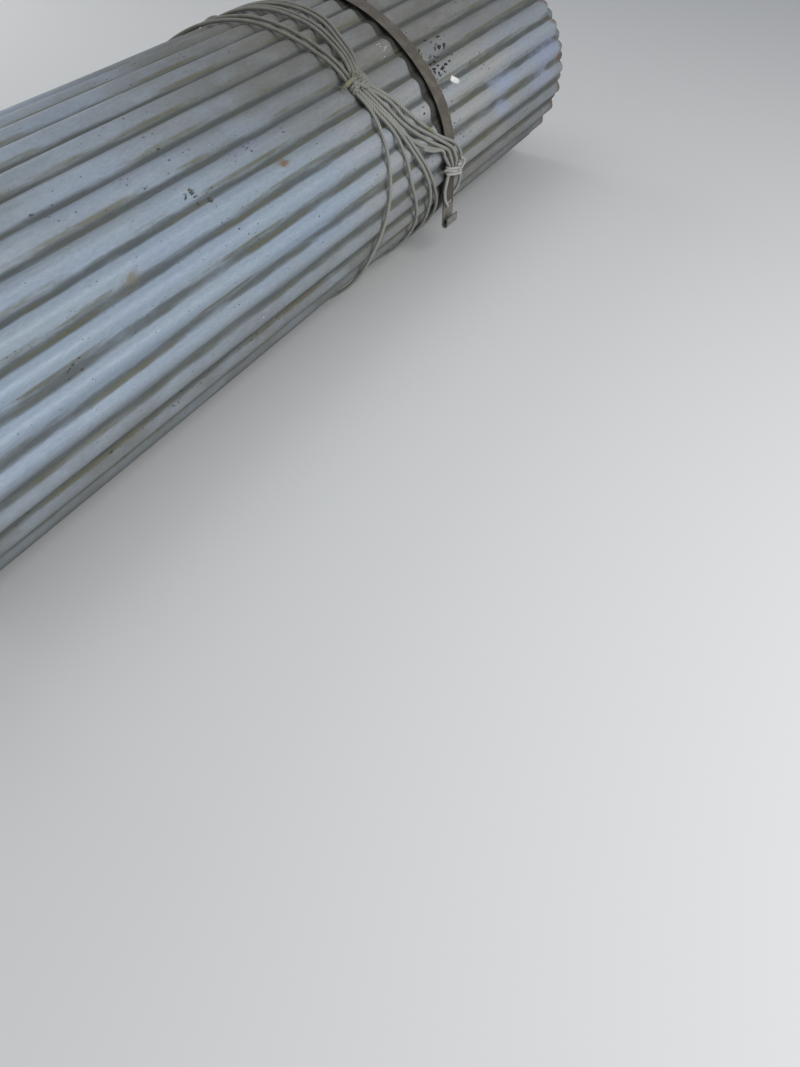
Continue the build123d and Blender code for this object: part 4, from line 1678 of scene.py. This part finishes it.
@dataclass(frozen=True)
class Studio:
    """The floor, the light and the camera."""

    camera_place: Place = (-1.868, -1.770, 1.501)
    heading_degrees: float = 31.2
    pitch_degrees: float = 48.1
    focal_pixels: float = 800.0
    image_width_pixels: float = 800.0
    sensor_mm: float = 36.0
    floor_size: float = 40.0
    floor_colour: Colour = (0.62, 0.62, 0.61)
    sky_colour: Colour = (0.86, 0.90, 0.96)
    sky_strength: float = 0.42
    lamps: tuple[Lamp, ...] = (
        Lamp("key", (-0.8, -4.2, 2.9), (0.1, 0.0, 0.4), 3.4, 175.0, (0.97, 0.98, 1.0)),
        Lamp("top", (0.6, 1.2, 4.2), (0.2, 0.0, 0.4), 2.6, 26.0, (0.96, 0.98, 1.0)),
        Lamp("back", (0.8, 4.6, 2.4), (0.1, 0.0, 0.4), 3.6, 70.0, (0.97, 0.98, 1.0)),
    )

    def camera(self) -> None:
        """Place the camera as the photograph's stood."""
        camera = bpy.data.cameras.new("photo_camera")
        camera.sensor_fit = "HORIZONTAL"
        camera.sensor_width = self.sensor_mm
        camera.lens = self.sensor_mm * self.focal_pixels / self.image_width_pixels
        camera.clip_end = 100.0
        thing = placed("photo_camera", camera, self.camera_place)
        turn = math.radians(self.heading_degrees - 90.0)
        thing.rotation_euler = (math.radians(90.0 - self.pitch_degrees), 0.0, turn)
        bpy.context.scene.camera = thing

    def floor(self) -> None:
        """Lay the plain floor."""
        half = self.floor_size / 2
        corners = [(-half, -half, 0.0), (half, -half, 0.0), (half, half, 0.0), (-half, half, 0.0)]
        mesh = bpy.data.meshes.new("floor")
        mesh.from_pydata(corners, [], [(0, 1, 2, 3)])
        material = bpy.data.materials.new("pale_floor")
        material.use_nodes = True
        shader = material.node_tree.nodes["Principled BSDF"]
        shader.inputs["Base Color"].default_value = (*self.floor_colour, 1.0)
        shader.inputs["Roughness"].default_value = 0.9
        mesh.materials.append(material)
        placed("floor", mesh)

    def sky(self) -> None:
        """Set the pale sky."""
        world = bpy.data.worlds.new("studio")
        world.use_nodes = True
        sky = world.node_tree.nodes["Background"]
        sky.inputs["Color"].default_value = (*self.sky_colour, 1.0)
        sky.inputs["Strength"].default_value = self.sky_strength
        bpy.context.scene.world = world

    def build(self) -> None:
        """Build the whole stage."""
        self.camera()
        self.floor()
        self.sky()
        for lamp in self.lamps:
            lamp.hang()


def dress(thing: bpy.types.Object, material: bpy.types.Material, node: str) -> None:
    """Give a piece its material and body, and hide the node that it stands for.

    Args:
        thing: The piece.
        material: Its material.
        node: The node that it replaces.
    """
    thing.data.materials.append(material)
    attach(thing, BODY)
    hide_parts(node)
    LOG.info("%s: %d faces", thing.name, len(thing.data.polygons))


def main() -> None:
    """Build the stage and every piece, in order."""
    logging.basicConfig(level=logging.INFO, format="%(name)s %(message)s")
    bpy.context.scene.view_settings.view_transform = "Standard"
    section = RollSection()
    ties = TiePlan(section)
    effects = SharedEffects()
    Studio().build()
    sheet = CorrugatedSheet(section, ties).build()
    dress(sheet, GalvanisedFinish(section).build(effects), "corrugated_sheet")
    dress(WebbingStrap(section, ties).build(), WebbingFinish().build(effects), "webbing_strap")
    dress(TieRope(section, ties).build(), RopeFinish().build(effects), "tie_rope")
    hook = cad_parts["strap_hook"]
    hook_material = HookFinish().build(effects)
    for slot in hook.material_slots:
        slot.material = hook_material
    LOG.info("%s: %d faces", hook.name, len(hook.data.polygons))


if __name__ == "__main__":
    main()
